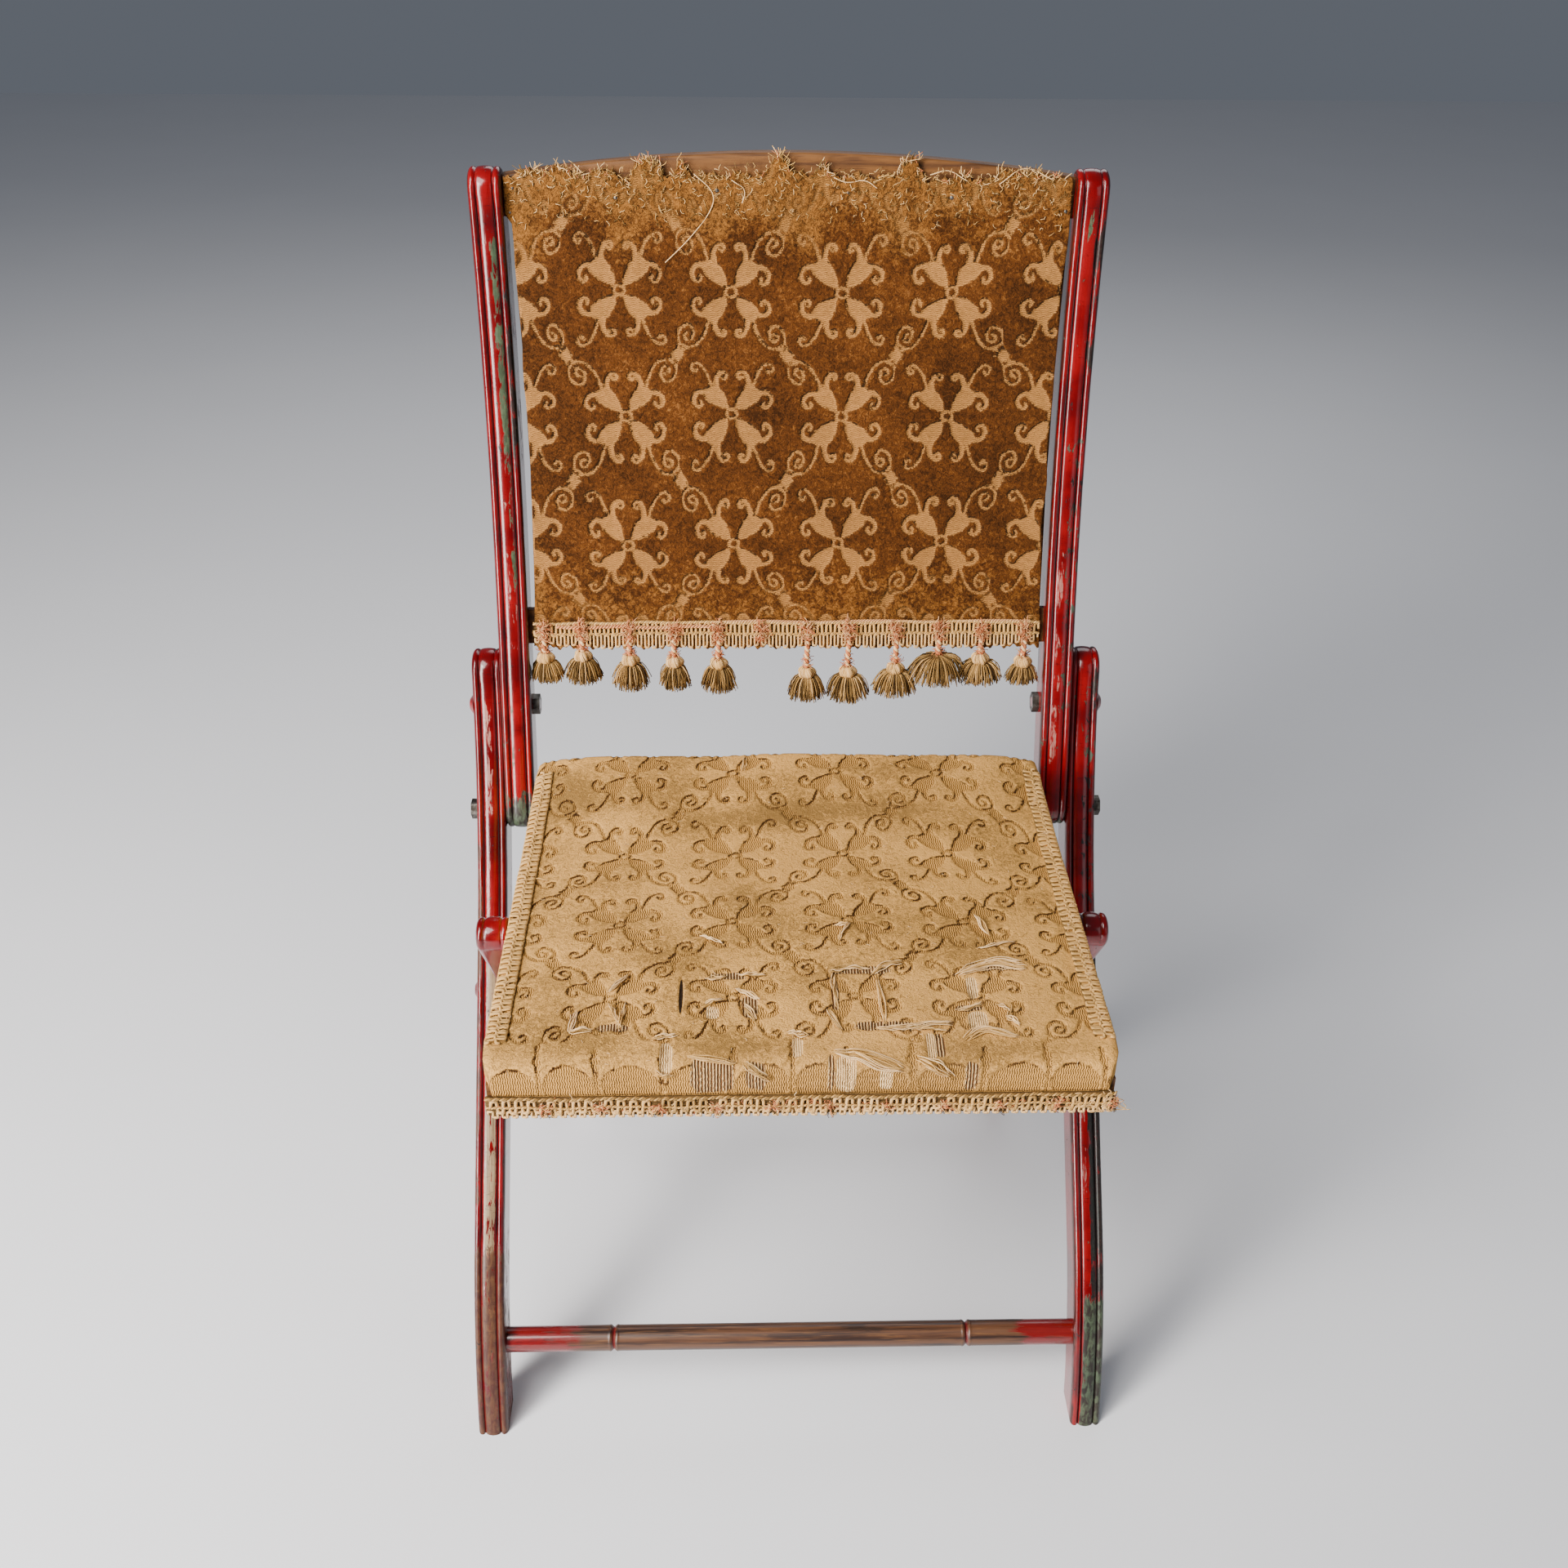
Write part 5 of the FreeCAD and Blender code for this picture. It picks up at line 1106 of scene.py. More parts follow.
# Tassels: across, height of the head and lowest end of the brush; one has lost its head's shape,
# one is gone, and none reaches the stiles
TASSELS = ((-185.7, 519.7, 497.5), (-156.9, 521.0, 495.9), (-120.7, 517.3, 490.0), (-86.9, 515.7, 490.6),
           (-52.9, 514.2, 487.5), (15.3, 506.0, 479.9), (47.0, 506.6, 479.0), (83.8, 509.4, 484.7),
           (116.6, 522.1, 494.8), (149.2, 517.7, 495.4), (182.5, 514.7, 494.5))
TASSEL_Y = 146.4
TASSEL_SPLAYED = 116.6
TASSEL_LOST = -20.0
TASSEL_PLACES = [place for place, _, _ in TASSELS] + [TASSEL_LOST]
BRUSH_REACH = 196.4

# Band: its top edge, and the slope that it lies on by its sine and cosine
BAND_Y, BAND_Z, BAND_SIN, BAND_COS = 153.4, 546.4, 0.309, 0.951


def on_band(x, down, out=0.0):
    """Place on the lower rail's slope: down it from the band's top edge, out in front of it."""
    y, z = BAND_Y - BAND_SIN * down - BAND_COS * out, BAND_Z - BAND_COS * down + BAND_SIN * out
    return points_of(x, y, z)


def band_hem(x):
    """How far down the band's loops reach: nearly straight, deeper between the tassels."""
    near = np.min(np.abs(x[:, None] - np.array(TASSEL_PLACES)), axis=1)
    return 17.4 + 2.6 * bound(near / 15) - 3.2 * bound((np.abs(x) - 150) / 42)


def back_gimp(sizes, draw):
    """The woven band over the cloth's lower edge: cord laid in wide upright loops over a row of dark
    cords that paint the shade between the loops, twisted cords along its top and its middle, two salmon
    cords over them, small loops below that deepen between the tassels, and salmon knots over each tassel."""
    skein, cord = Skein(), sizes.gimp / MM
    lift = 0.35 + cord
    along, across, over = serpentine(-193, 193, 6.6, 0.8, 18)
    wobble = 0.35 * np.sin(along * 0.13) + 0.5 * np.sin(along * 0.031 + 1)
    skein.add(on_band(along, 5.6 + wobble + 4.2 * across, lift + 0.9 + 0.25 * over), cord * 1.9, 6, STRAW)
    loops, dip, over = serpentine(-192.5, 192.5, 5.6, 1.2, 18)
    hem = band_hem(loops)
    skein.add(on_band(loops, (9 + hem) / 2 + (hem - 9) / 2 * dip, lift + 0.6 + 0.3 * over), cord * 1.5, 5,
              STRAW + 0.08)
    x = np.linspace(-193.5, 193.5, 1000)
    # Painted shade: dark cords laid behind the loops stand in for the shadow between them.
    for down in (2.0, 4.6, 7.2, 9.6, 12.0):
        skein.add(on_band(x[::8], down, -0.4), 1.45, 5, 0.13)
    for down, tint, ply in ((0.6, STRAW, 0.95), (8.8, STRAW - 0.06, 0.7)):
        line = on_band(x, down + 0.35 * np.sin(x * 0.13) + 0.5 * np.sin(x * 0.031 + 1), lift + 1.5)
        skein.add(plied(line, ply * 0.62, 4.2), ply * 0.8, 5, tint + 0.05 * np.array([-1, 1]))
    for start, stop, steps, down, pace, lie, ply, pitch, radius, tint in (
            (-176, -58, 300, 3.6, 0.11, 2.2, 0.8, 5.0, 0.75, SALMON - 0.06),
            (-56, 186, 600, -0.4, 0.07, 1.6, 0.6, 4.6, 0.5, SALMON - 0.1)):
        x = np.linspace(start, stop, steps)
        line = on_band(x, down + 0.5 * np.sin(x * pace), lift + lie)
        skein.add(plied(line, ply, pitch), radius, 5, tint)
    for x in TASSEL_PLACES:
        fuzz(skein, on_band(x, 5.0, 2.6), 3.6, 90, draw, SALMON - 0.05, 0.36)
        fuzz(skein, on_band(x, 12.0, 2.2), 2.8, 60, draw, SALMON - 0.05, 0.32)
    return skein.make("back_gimp")


def tassel_set(sizes, draw):
    """Tassels: a twisted cord from the band with knots, a five-lobed head wrapped in strands whose
    width follows a bell curve, and a brush of cut yarns that spread from under it. The splayed one
    has no head and its yarns spread wider."""
    skein = Skein()
    brush = sizes.brush / MM
    for x, head, foot in TASSELS:
        splayed = x == TASSEL_SPLAYED
        spread = 1.6 if splayed else draw.uniform(0.85, 1.2)
        knot = head + (1.0 if splayed else 5.5)
        path = thread([on_band(x, 4.0, 1.5), on_band(x + 0.6, 12.0, 2.0),
                       (x - 0.5, TASSEL_Y - 1, knot + 3), (x, TASSEL_Y, knot - 1)], 60)
        skein.add(plied(path, 1.15, 6.0), 1.2, 6, SALMON - 0.1 + 0.1 * np.array([-1, 1]))
        fuzz(skein, (x, TASSEL_Y, knot + 1), 2.2, 40, draw, SALMON, 0.3, 3.0)
        fuzz(skein, (x, TASSEL_Y - 0.6, (knot + 526) / 2), 1.8, 24, draw, SALMON, 0.3, 3.0)
        if not splayed:
            share = np.linspace(0, 1, 9)
            radius = 6.1 * np.sin(np.pi * bound(share * 0.86 + 0.07)) ** 0.62
            turn = around(24) + draw.uniform(0, 1)
            lobes = 1 + 0.13 * np.cos(5 * turn)
            line = points_of(x, TASSEL_Y, head + 4.4 - 9.6 * share)
            skein.add(line, radius[None, :, None] * lobes, 24, STRAW)
            wrap = np.linspace(0, 1, 9)[None, :]
            lie = np.linspace(0, 2 * math.pi, 56)[:, None] + 0.5 * wrap
            bulge = 0.35 + 6.1 * np.sin(np.pi * (0.07 + 0.7 * wrap)) ** 0.62 * (1 + 0.13 * np.cos(5 * lie))
            strands = points_of(x + np.cos(lie) * bulge, TASSEL_Y + np.sin(lie) * bulge,
                                head + 4.6 - 7.6 * wrap)
            skein.add(strands, 0.4, 4, np.clip(draw.normal(0.46, 0.1, 56), 0.2, 0.62))
        count = 300
        turn = draw.uniform(0, 2 * math.pi, (count, 1))
        out = np.sqrt(draw.uniform(0.02, 1, (count, 1)))
        fall = np.linspace(0, 1, 5)[None, :]
        length = max(head - 1.5 - foot, brush) * draw.uniform(0.72, 1.06, (count, 1))
        flare = out * spread * (4.0 + 11.5 * fall ** 0.6) + draw.normal(0, 0.7, (count, 1)) * fall
        bend = draw.normal(0, 0.9, (count, 1)) * np.sin(fall * 3)
        paths = points_of(np.clip(x + np.cos(turn) * flare + bend, -BRUSH_REACH, BRUSH_REACH),
                          TASSEL_Y + np.sin(turn) * flare * 0.75,
                          head - 1.4 - length * fall ** (1 + 0.5 * out) * (1.06 - 0.3 * out))
        tint = np.clip(draw.normal(0.26, 0.13, count), 0.0, 0.5)
        skein.add(paths, draw.uniform(0.32, 0.5, (count, 1)), 3, tint)
    return skein.make("tassels")


# Seat

SEAT_HALF, SEAT_FRONT, SEAT_BACK = 190.8, -234.4, 93.6
SEAT_DEPTH = SEAT_BACK - SEAT_FRONT
SEAT_MIDDLE = (SEAT_FRONT + SEAT_BACK) / 2
FIELD_HALF, FIELD_START = 177.0, 9
EDGE_Z, BASE_Z, LIP_Z, SKIRT_Z = 448.7, 435.3, 426.6, 411.7
SIM_COLUMNS, SIM_ROWS = 52, 46
BLOWN_UP = 2.5


def crown_field(sizes):
    """Heights of the seat's crown over its nailed edge, from a cloth that is held all round and
    blown up a little; the grid is SIM_ROWS by SIM_COLUMNS over the field between the braids."""
    across = np.linspace(-1, 1, SIM_COLUMNS)[None, :]
    share = np.linspace(0, 1, SIM_ROWS)[:, None]
    x = across * FIELD_HALF + 0 * share
    y = SEAT_FRONT + FIELD_START + share * (SEAT_DEPTH - FIELD_START) + 0 * across
    dome = np.sin(np.pi * (across + 1) / 2) ** 0.7 * np.sin(np.pi * (0.04 + 0.9 * share)) ** 0.6
    start = (sizes.crown / MM - BLOWN_UP) * dome + 0.5 * ripple(x, y, 51, 0.04) * dome
    points = points_of(x, y, EDGE_Z + start)
    pad = mesh_from("crown_trial", points.reshape(-1, 3) * MM, [grid_faces(SIM_ROWS, SIM_COLUMNS)])
    held = pad.vertex_groups.new(name="nailed")
    rim = (np.abs(across) > 0.999) | (share < 0.001) | (share > 0.999)
    held.add([int(number) for number in np.flatnonzero(rim.ravel())], 1.0, "REPLACE")
    cloth = pad.modifiers.new("cloth", "CLOTH")
    cloth.settings.use_pressure = True
    cloth.settings.uniform_pressure_force = 4.0
    cloth.settings.vertex_group_mass = "nailed"
    cloth.settings.effector_weights.gravity = 0.0
    cloth.settings.tension_stiffness = 60.0
    cloth.settings.bending_stiffness = 2.0
    scene = bpy.context.scene
    for number in range(1, 21):
        scene.frame_set(number)
    shaped = pad.evaluated_get(bpy.context.evaluated_depsgraph_get())
    heights = np.empty(len(points.reshape(-1, 3)) * 3, dtype=np.float32)
    shaped.data.vertices.foreach_get("co", heights)
    heights = heights.reshape(-1, 3)[:, 2].reshape(SIM_ROWS, SIM_COLUMNS) / MM - EDGE_Z
    bpy.data.objects.remove(pad)
    scene.frame_set(1)
    return start + np.clip(heights - start, -3, 5)


def weights(count, places):
    """Smooth weights that read a row of numbers between its own places (cubic through points)."""
    base = np.clip(np.floor(places).astype(int), 0, count - 2)
    share = places - base
    table = np.zeros((len(places), count))
    shares = (-0.5 * share ** 3 + share ** 2 - 0.5 * share, 1.5 * share ** 3 - 2.5 * share ** 2 + 1,
              -1.5 * share ** 3 + 2 * share ** 2 + 0.5 * share, 0.5 * share ** 3 - 0.5 * share ** 2)
    for step, part in zip((-1, 0, 1, 2), shares):
        np.add.at(table, (np.arange(len(places)), np.clip(base + step, 0, count - 1)), part)
    return table


def seat_half_width(y):
    """Half width of the seat by depth: its front corners draw in."""
    along = (y - SEAT_FRONT) / SEAT_DEPTH
    share = np.interp(along, (0, 0.012, 0.03, 0.07, 0.95, 1.0), (0.968, 0.985, 0.995, 1.0, 1.0, 0.99))
    return SEAT_HALF * share


# Worn places of the seat in cloth coordinates: middle across and along, half width, half height
PALE_PATCHES = ((108, -170, 3.6, 9.5), (108.5, -199.5, 6.3, 7.5), (77.5, -222, 3.2, 11),
                (26, -243, 6.5, 13.5), (50, -248, 4, 8.5), (-81, -229, 3.8, 12),
                (-54, -191.5, 4.2, 5.5), (-3, -222, 3.5, 9))
WARP_PATCHES = ((-53.5, -243, 13.5, 13), (-27.5, -245, 6.5, 10.5), (101, -246, 4, 10.5), (17, -242, 2, 14),
                (83, -221, 3, 10.5), (124, -150, 16, 4), (55, -205, 24, 3.5), (104, -188, 9, 3),
                (-45, -160, 11, 3.5), (-31, -187, 5, 9), (40, -155, 18, 3.5), (22, -176, 2.5, 14),
                (-114, -203, 10, 3), (-139, -198, 2.5, 9))

# Browned places of the seat: middle across and along, width, height and strength
STAINS = ((-120, 50, 60, 26, 1.6), (-10, 14, 80, 16, 2.6), (90, 22, 60, 10, 1.4), (-125, -214, 42, 14, 2.6),
          (-30, -222, 40, 12, 1.8), (100, -226, 60, 12, 1.6), (-165, 10, 20, 60, 1.6), (60, 70, 70, 14, 1.2))


def worn_of(x, s, patches):
    """Where the velvet is worn through: soft ovals, 1 in their middle and 0.5 at their edge."""
    total = np.zeros(x.shape)
    for middle_x, middle_s, wide, tall in patches:
        gap = (np.abs((x - middle_x) / wide) ** 4 + np.abs((s - middle_s) / tall) ** 4) ** 0.25
        total = np.maximum(total, bound(1.5 - gap))
    return total


def scallop_reach(x, s):
    """Distance to the row of half-round ribbed lobes that the front edge cuts through."""
    place = (x + 6.5 + 2.5 * np.sin(x * 0.04)) % 37.5 - 18.75
    lobe = np.hypot(place, (s + 251.5) * 1.05) - 16.2
    stem = np.maximum(np.abs(np.abs(place) - 18.4) - 1.3, -s - 262)
    bud = np.hypot(np.abs(place) - 18.75, (s + 232.0) * 0.9) - 2.6
    return np.minimum(np.minimum(lobe, stem + 0.5), bud)


def seat_cloth(x, s):
    """Motif, wear and colour of the seat's velvet at cloth coordinates across and along; along
    goes on below the front edge as far as the cloth hangs down its face."""
    place_x = x + 1.6 * ripple(x, s, 62, 0.03) + 0.6 * ripple(x, s, 65, 0.15)
    place_s = s + 1.6 * ripple(x, s, 63, 0.03) + 0.6 * ripple(x, s, 66, 0.15)
    lattice = motif_reach(place_x, place_s, -41.0, 76.0, (-262.0, -178.0, -106.0, -29.0, 69.0, 150.0), 0)
    share = bound((s + 222) / 8)
    lobes = scallop_reach(place_x + 2.2 * ripple(x, s, 68, 0.05), s + 2.0 * ripple(x, s, 64, 0.07))
    motif = lobes * (1 - share) + lattice * share - 0.25
    pale, warp = worn_of(x, s, PALE_PATCHES), worn_of(x, s, WARP_PATCHES)
    cloud = 0.4 + 1.0 * ripple(x, s, 71, 0.03) + 1.0 * ripple(x, s, 72, 0.09)
    for middle_x, middle_s, wide, tall, strength in STAINS:
        cloud = cloud - strength * np.exp(-((x - middle_x) / wide) ** 2 - ((s - middle_s) / tall) ** 2)
    slit = bound(1.6 - np.hypot((x + 73.5) / 1.2, (s + 178) / 15))
    return {"motif": motif, "bare": pale, "thread": warp, "cloud": cloud, "slit": slit,
            "faded": bound(0.1 + 0.3 * ripple(x, s, 73, 0.02))}


class SeatPad:
    """The seat's pad. Its top is a grid over width and depth whose crown comes from the blown
    cloth, with a rounded brow along the front and sides; rings go on down its edge to the webbing,
    lower in front, where the velvet hangs as a lip, and then in to its middle. It also tells where
    a yarn lies on the cloth."""

    def __init__(self, sizes):
        self.columns, self.rows = 400, 340
        columns, rows = self.columns, self.rows
        u = np.linspace(-1, 1, columns)[None, :]
        v = np.linspace(0, 1, rows)[:, None]
        y = SEAT_FRONT + v * SEAT_DEPTH + 0 * u
        half = seat_half_width(y)
        x = u * half
        field = crown_field(sizes)
        column = bound((x[rows // 2] + FIELD_HALF) / (2 * FIELD_HALF)) * (SIM_COLUMNS - 1)
        into = (y[:, 0] - SEAT_FRONT - FIELD_START) / (SEAT_DEPTH - FIELD_START)
        row = bound(into) * (SIM_ROWS - 1)
        crown = weights(SIM_ROWS, row) @ field @ weights(SIM_COLUMNS, column).T
        side_in, front_in, back_in = half - np.abs(x), y - SEAT_FRONT, SEAT_BACK - y
        brow = 4.2 * bound(1 - front_in / 11) ** 2 + 1.6 * bound(1 - side_in / 5) ** 2
        brow = brow + 0.8 * bound(1 - back_in / 4) ** 2
        brow = brow - 5.0 * (x / SEAT_HALF) ** 4 * bound(1 - back_in / 70) ** 2
        arch = sizes.arch / MM * (1 - 0.75 * np.abs(x / SEAT_HALF) ** 8)
        arch = arch * bound(1 - back_in / 120) ** 1.4
        lumps = 0.8 * ripple(x, y, 61, 0.035) * bound(side_in / 30) * bound(front_in / 25)
        lumps = lumps + 0.35 * ripple(x, y, 67, 0.11) * bound(side_in / 20)
        s = y - 0.25 * np.clip(14 - front_in, 0, 14)
        self.traits = seat_cloth(x, s)
        relief = sizes.relief / MM
        raised = 0.5 + 0.5 * np.tanh(self.traits["motif"] / 0.8)
        self.sag = self.traits["bare"].clip(0.4, 0.7) - 0.4 + self.traits["thread"].clip(0.4, 0.7) - 0.4
        z = EDGE_Z + crown - brow + arch + lumps + raised * relief - self.sag * 3.0 * relief
        z = z - 1.6 * self.traits["slit"].clip(0.2, 0.8)
        self.top, self.cloth = points_of(x, y, z), points_of(x, s, 0)
        # Painted shadow: lee marks the motif edges on the side away from the light, where the velvet's finish
        # paints dark strokes.
        slope_s, slope_x = np.gradient(raised, axis=0), np.gradient(raised, axis=1)
        self.traits["lee"] = np.clip((0.8 * slope_s - 0.6 * slope_x) * 2.4, -1, 1)

    def place(self, x, s, lift=0.0):
        """Places on the cloth at coordinates across and along, lifted off it: read off the top
        grid, or off the upright front face where the cloth has turned down."""
        front = SEAT_FRONT - 3.5
        y = np.maximum(s, front) + 0.25 * np.clip(14 - np.clip(s - SEAT_FRONT, 0, 14), 0, 14) * (s > front)
        y = np.clip(y, SEAT_FRONT, SEAT_BACK)
        row = np.clip((y - SEAT_FRONT) / SEAT_DEPTH * (self.rows - 1), 0, self.rows - 1.001)
        column = np.clip((x / seat_half_width(y) + 1) / 2 * (self.columns - 1), 0, self.columns - 1.001)
        low, left = row.astype(int), column.astype(int)
        up, over = row - low, column - left
        grid = self.top[..., 2]
        z = ((grid[low, left] * (1 - over) + grid[low, left + 1] * over) * (1 - up)
             + (grid[low + 1, left] * (1 - over) + grid[low + 1, left + 1] * over) * up)
        fall = np.clip(front - s, 0, None)
        turned = bound((SEAT_FRONT + 5 - s) / 9) * math.pi / 2
        return points_of(x, y - lift * np.sin(turned), z - fall + lift * np.cos(turned))

    def make(self):
        """The pad as one closed mesh with its cloth coordinates and traits."""
        columns, rows = self.columns, self.rows
        rim = rim_of(rows, columns)
        edge = self.top.reshape(-1, 3)[rim]
        side = edge[:, :2] / np.array([SEAT_HALF, 1.0])
        front = bound((SEAT_FRONT + 3 - edge[:, 1]) / 2.5) * bound((1.0 - np.abs(side[:, 0])) / 0.03)
        foot = BASE_Z + (LIP_Z - BASE_Z) * front
        centre = np.array([0.0, SEAT_MIDDLE, BASE_Z])
        half = np.array([SEAT_HALF, SEAT_DEPTH / 2])
        rings, downs = [], []
        for share in np.linspace(0.05, 1, 16):
            ring = edge.copy()
            ring[:, 2] = edge[:, 2] + (foot - edge[:, 2]) * share
            downs.append(edge[:, 2] - ring[:, 2])
            rings.append(ring)
        for inset, level in ((1.9, foot), (2.0, BASE_Z + 0 * foot)):
            ring = edge.copy()
            ring[:, 2] = level
            ring[:, :2] = centre[:2] + (edge[:, :2] - centre[:2]) * (1 - inset / half)
            rings.append(ring)
        base = rings[-1]
        for share in (0.75, 0.4, 0.12):
            rings.append(np.column_stack([centre[:2] + (base[:, :2] - centre[:2]) * share, base[:, 2]]))
        ring_points = np.concatenate(rings)
        hang = np.concatenate(downs + [downs[-1]] * (len(rings) - len(downs)))
        front_all = np.tile(front, len(rings)) > 0.5
        start = np.tile(self.cloth.reshape(-1, 3)[rim][:, 1], len(rings))
        rear_all = np.tile(edge[:, 1] > SEAT_BACK - 0.5, len(rings))
        side_all = ~front_all & ~rear_all
        s = np.where(front_all, start - hang, ring_points[:, 1] + hang * rear_all)
        across = ring_points[:, 0] + np.sign(ring_points[:, 0]) * hang * side_all
        traits = seat_cloth(across, s)
        for key in ("bare", "thread", "slit"):
            traits[key] = np.where(front_all, traits[key], 0)
        traits["lee"] = np.zeros(len(s))
        raised = 0.5 + 0.5 * np.tanh(traits["motif"] / 0.8)
        shown = front_all & (np.arange(len(s)) < (len(downs) - 1) * len(rim))
        ring_points[:, 1] -= np.where(shown, (raised - 0.5) * 0.7, 0)
        count, length = rows * columns, len(rim)
        first = np.stack([rim, count + np.arange(length), count + (np.arange(length) + 1) % length,
                          np.roll(rim, -1)], axis=-1)
        spokes = np.arange(length)
        last, tip = count + (len(rings) - 1) * length, count + len(rings) * length
        faces = [grid_faces(rows, columns), first,
                 grid_faces(len(rings), length, count, close_columns=True)[:, ::-1],
                 np.stack([last + spokes, np.full(length, tip), last + (spokes + 1) % length], axis=-1)]
        points = np.concatenate([self.top.reshape(-1, 3), ring_points, centre[None]])
        traits = {key: np.concatenate([self.traits[key].ravel(), traits[key], [0.0]]) for key in traits}
        cloth = np.concatenate([self.cloth.reshape(-1, 3),
                                points_of(across, s, 0), centre[None] * 0])
        return weld(mesh_from("seat_pad", points * MM, faces, traits, {"cloth": cloth * MM}), 1e-7)


def skirt_line(count):
    """A line round the seat's rounded outline: places and outward directions."""
    turn = around(count)
    power = 0.03
    cos, sin = np.cos(turn), np.sin(turn)
    square = (np.abs(cos) ** (1 / power) + np.abs(sin) ** (1 / power)) ** (-power)
    half = np.array([SEAT_HALF - 0.3, SEAT_DEPTH / 2 - 0.4])
    middle = np.array([0.0, SEAT_MIDDLE])
    line = middle + np.stack([cos, sin], axis=-1) * square[:, None] * half
    tangent = unit(np.roll(line, -1, axis=0) - np.roll(line, 1, axis=0))
    return line, np.stack([tangent[:, 1], -tangent[:, 0]], axis=-1)


def seat_skirt():
    """The cloth round the seat's frame as a closed strip: two walls between a top and a hem, the
    hem lifted where the rest rod comes out and where the side rails' tails pass."""
    count = 900
    line, out = skirt_line(count)
    front = bound((SEAT_FRONT + 4 - line[:, 1]) / 2)
    side = bound((np.abs(line[:, 0]) - 186) / 2)
    high = BASE_Z - 0.2 - (BASE_Z - LIP_Z) * front
    rod = bound(1 - np.clip(np.abs(line[:, 1] + 50) - 21, 0, None) / 3) * side
    tail = bound((np.abs(line[:, 0]) - 161) / 2) * bound((line[:, 1] - 72) / 2)
    low = SKIRT_Z + 10.4 * rod + (BASE_Z - 0.8 - SKIRT_Z - 10.4 * rod) * tail
    share = np.linspace(0, 1, 13)[:, None]
    z = high + (low - high) * share
    wave = 0.35 * np.sin(np.arange(count) / count * 2 * math.pi * 31)[None, :] * share
    outer = points_of(line[:, 0] + out[:, 0] * wave, line[:, 1] + out[:, 1] * wave, z)
    inner = points_of(line[:, 0] - out[:, 0] * 1.5, line[:, 1] - out[:, 1] * 1.5, z)
    rows = np.concatenate([outer, inner[::-1]])
    faces = [grid_faces(len(rows), count, close_rows=True, close_columns=True)]
    around = run_along(line)
    cloth = points_of(around, rows[..., 2], 0)
    zero = np.zeros(rows.shape[:2])
    traits = {"motif": zero + 6, "bare": zero, "thread": zero, "slit": zero, "lee": zero, "faded": zero + 0.3,
              "cloud": ripple(cloth[..., 0], cloth[..., 1], 81, 0.05)}
    area = float(np.sum(np.abs(high - low) * np.linalg.norm(np.roll(line, -1, axis=0) - line, axis=1)))
    skirt = mesh_from("seat_skirt", rows.reshape(-1, 3) * MM, faces, traits, {"cloth": cloth * MM})
    return weld(skirt, 1e-7), area * MM * MM


def seat_gimp(sizes, draw):
    """Looped gimp along the front: blocks of squared upright loops over a row of dark cords that paint
    the shade between the loops, one twisted cord across them and one on top, small loops below, salmon
    and dark knots between the blocks, and loose ends, more of them at the right corner."""
    skein, cord = Skein(), sizes.gimp / MM

    def front(x, z, out):
        """Place in front of the seat's face, following its rounded corners."""
        y = SEAT_FRONT - 0.9 - out + 1.6 * bound((np.abs(x) - 184) / 6) ** 2
        return points_of(x, y, z)

    edges = np.linspace(-188, 188, 12)
    for number, (start, stop) in enumerate(zip(edges, edges[1:])):
        along, across, over = serpentine(start + 2.2, stop - 2.2, 6.8, 0.75, 18)
        sway = 0.5 * np.sin(along * 0.1 + number)
        tall = 4.9 + 0.5 * np.sin(along * 0.21)
        tint = np.clip(STRAW + draw.normal(0, 0.05), 0.3, 0.55)
        skein.add(front(along, 419.6 + sway + tall * across, 1.1 + 0.35 * over), cord * 1.95, 6, tint)
        fuzz(skein, front(stop, 418.5, 1.2), 2.6, 44, draw, SALMON - 0.04, 0.3)
        fuzz(skein, front(stop, 414.0, 1.0), 1.8, 18, draw, DARK + 0.1, 0.2)
    x = np.linspace(-189, 189, 1100)
    # Painted shade: dark cords laid behind the loops stand in for the shadow between them.
    for z in (412.9, 415.3, 417.7, 420.1, 422.5, 424.9):
        skein.add(front(x[::8], z, -0.2), 1.35, 5, 0.1)
    for z, tint, ply, pitch in ((426.2, OLIVE + 0.08, 0.8, 4.6), (419.4, STRAW - 0.05, 0.6, 3.6)):
        line = front(x, z + 0.5 * np.sin(x * 0.1) + 0.3 * np.sin(x * 0.37), 2.0)
        skein.add(plied(line, ply * 0.62, pitch), ply * 0.78, 5, tint + 0.06 * np.array([-1, 1]))
    along, across, over = serpentine(-188, 188, 5.8, 1.3, 18)
    skein.add(front(along, 413.4 + 2.2 * across, 0.9 + 0.3 * over), cord * 1.5, 5, PALE - 0.1)
    for start in draw.uniform(-186, 186, 90):
        skein.add(front(*loose_end(start, 421, 8, draw), 1.6), 0.22, 3, draw.choice((STRAW, PALE, SALMON)))
    for start in draw.uniform(165, 190, 26):
        skein.add(front(*loose_end(min(start, 188), 420, 16, draw), 2.0), 0.3, 3, PALE - 0.1)
    return skein.make("front_gimp")


def loose_end(x, z, length, draw):
    """A short wandering line in the plane of the gimp: a walk whose turns add up."""
    turn = draw.uniform(0, 2 * math.pi) + np.cumsum(draw.normal(0, 0.55, 12))
    step = length / 12 * draw.uniform(0.5, 1.3)
    along, up = np.cumsum(np.cos(turn)) * step, np.cumsum(np.sin(turn)) * step
    return x + along, np.clip(z + draw.uniform(-6, 3) + up, 411.8, 430)


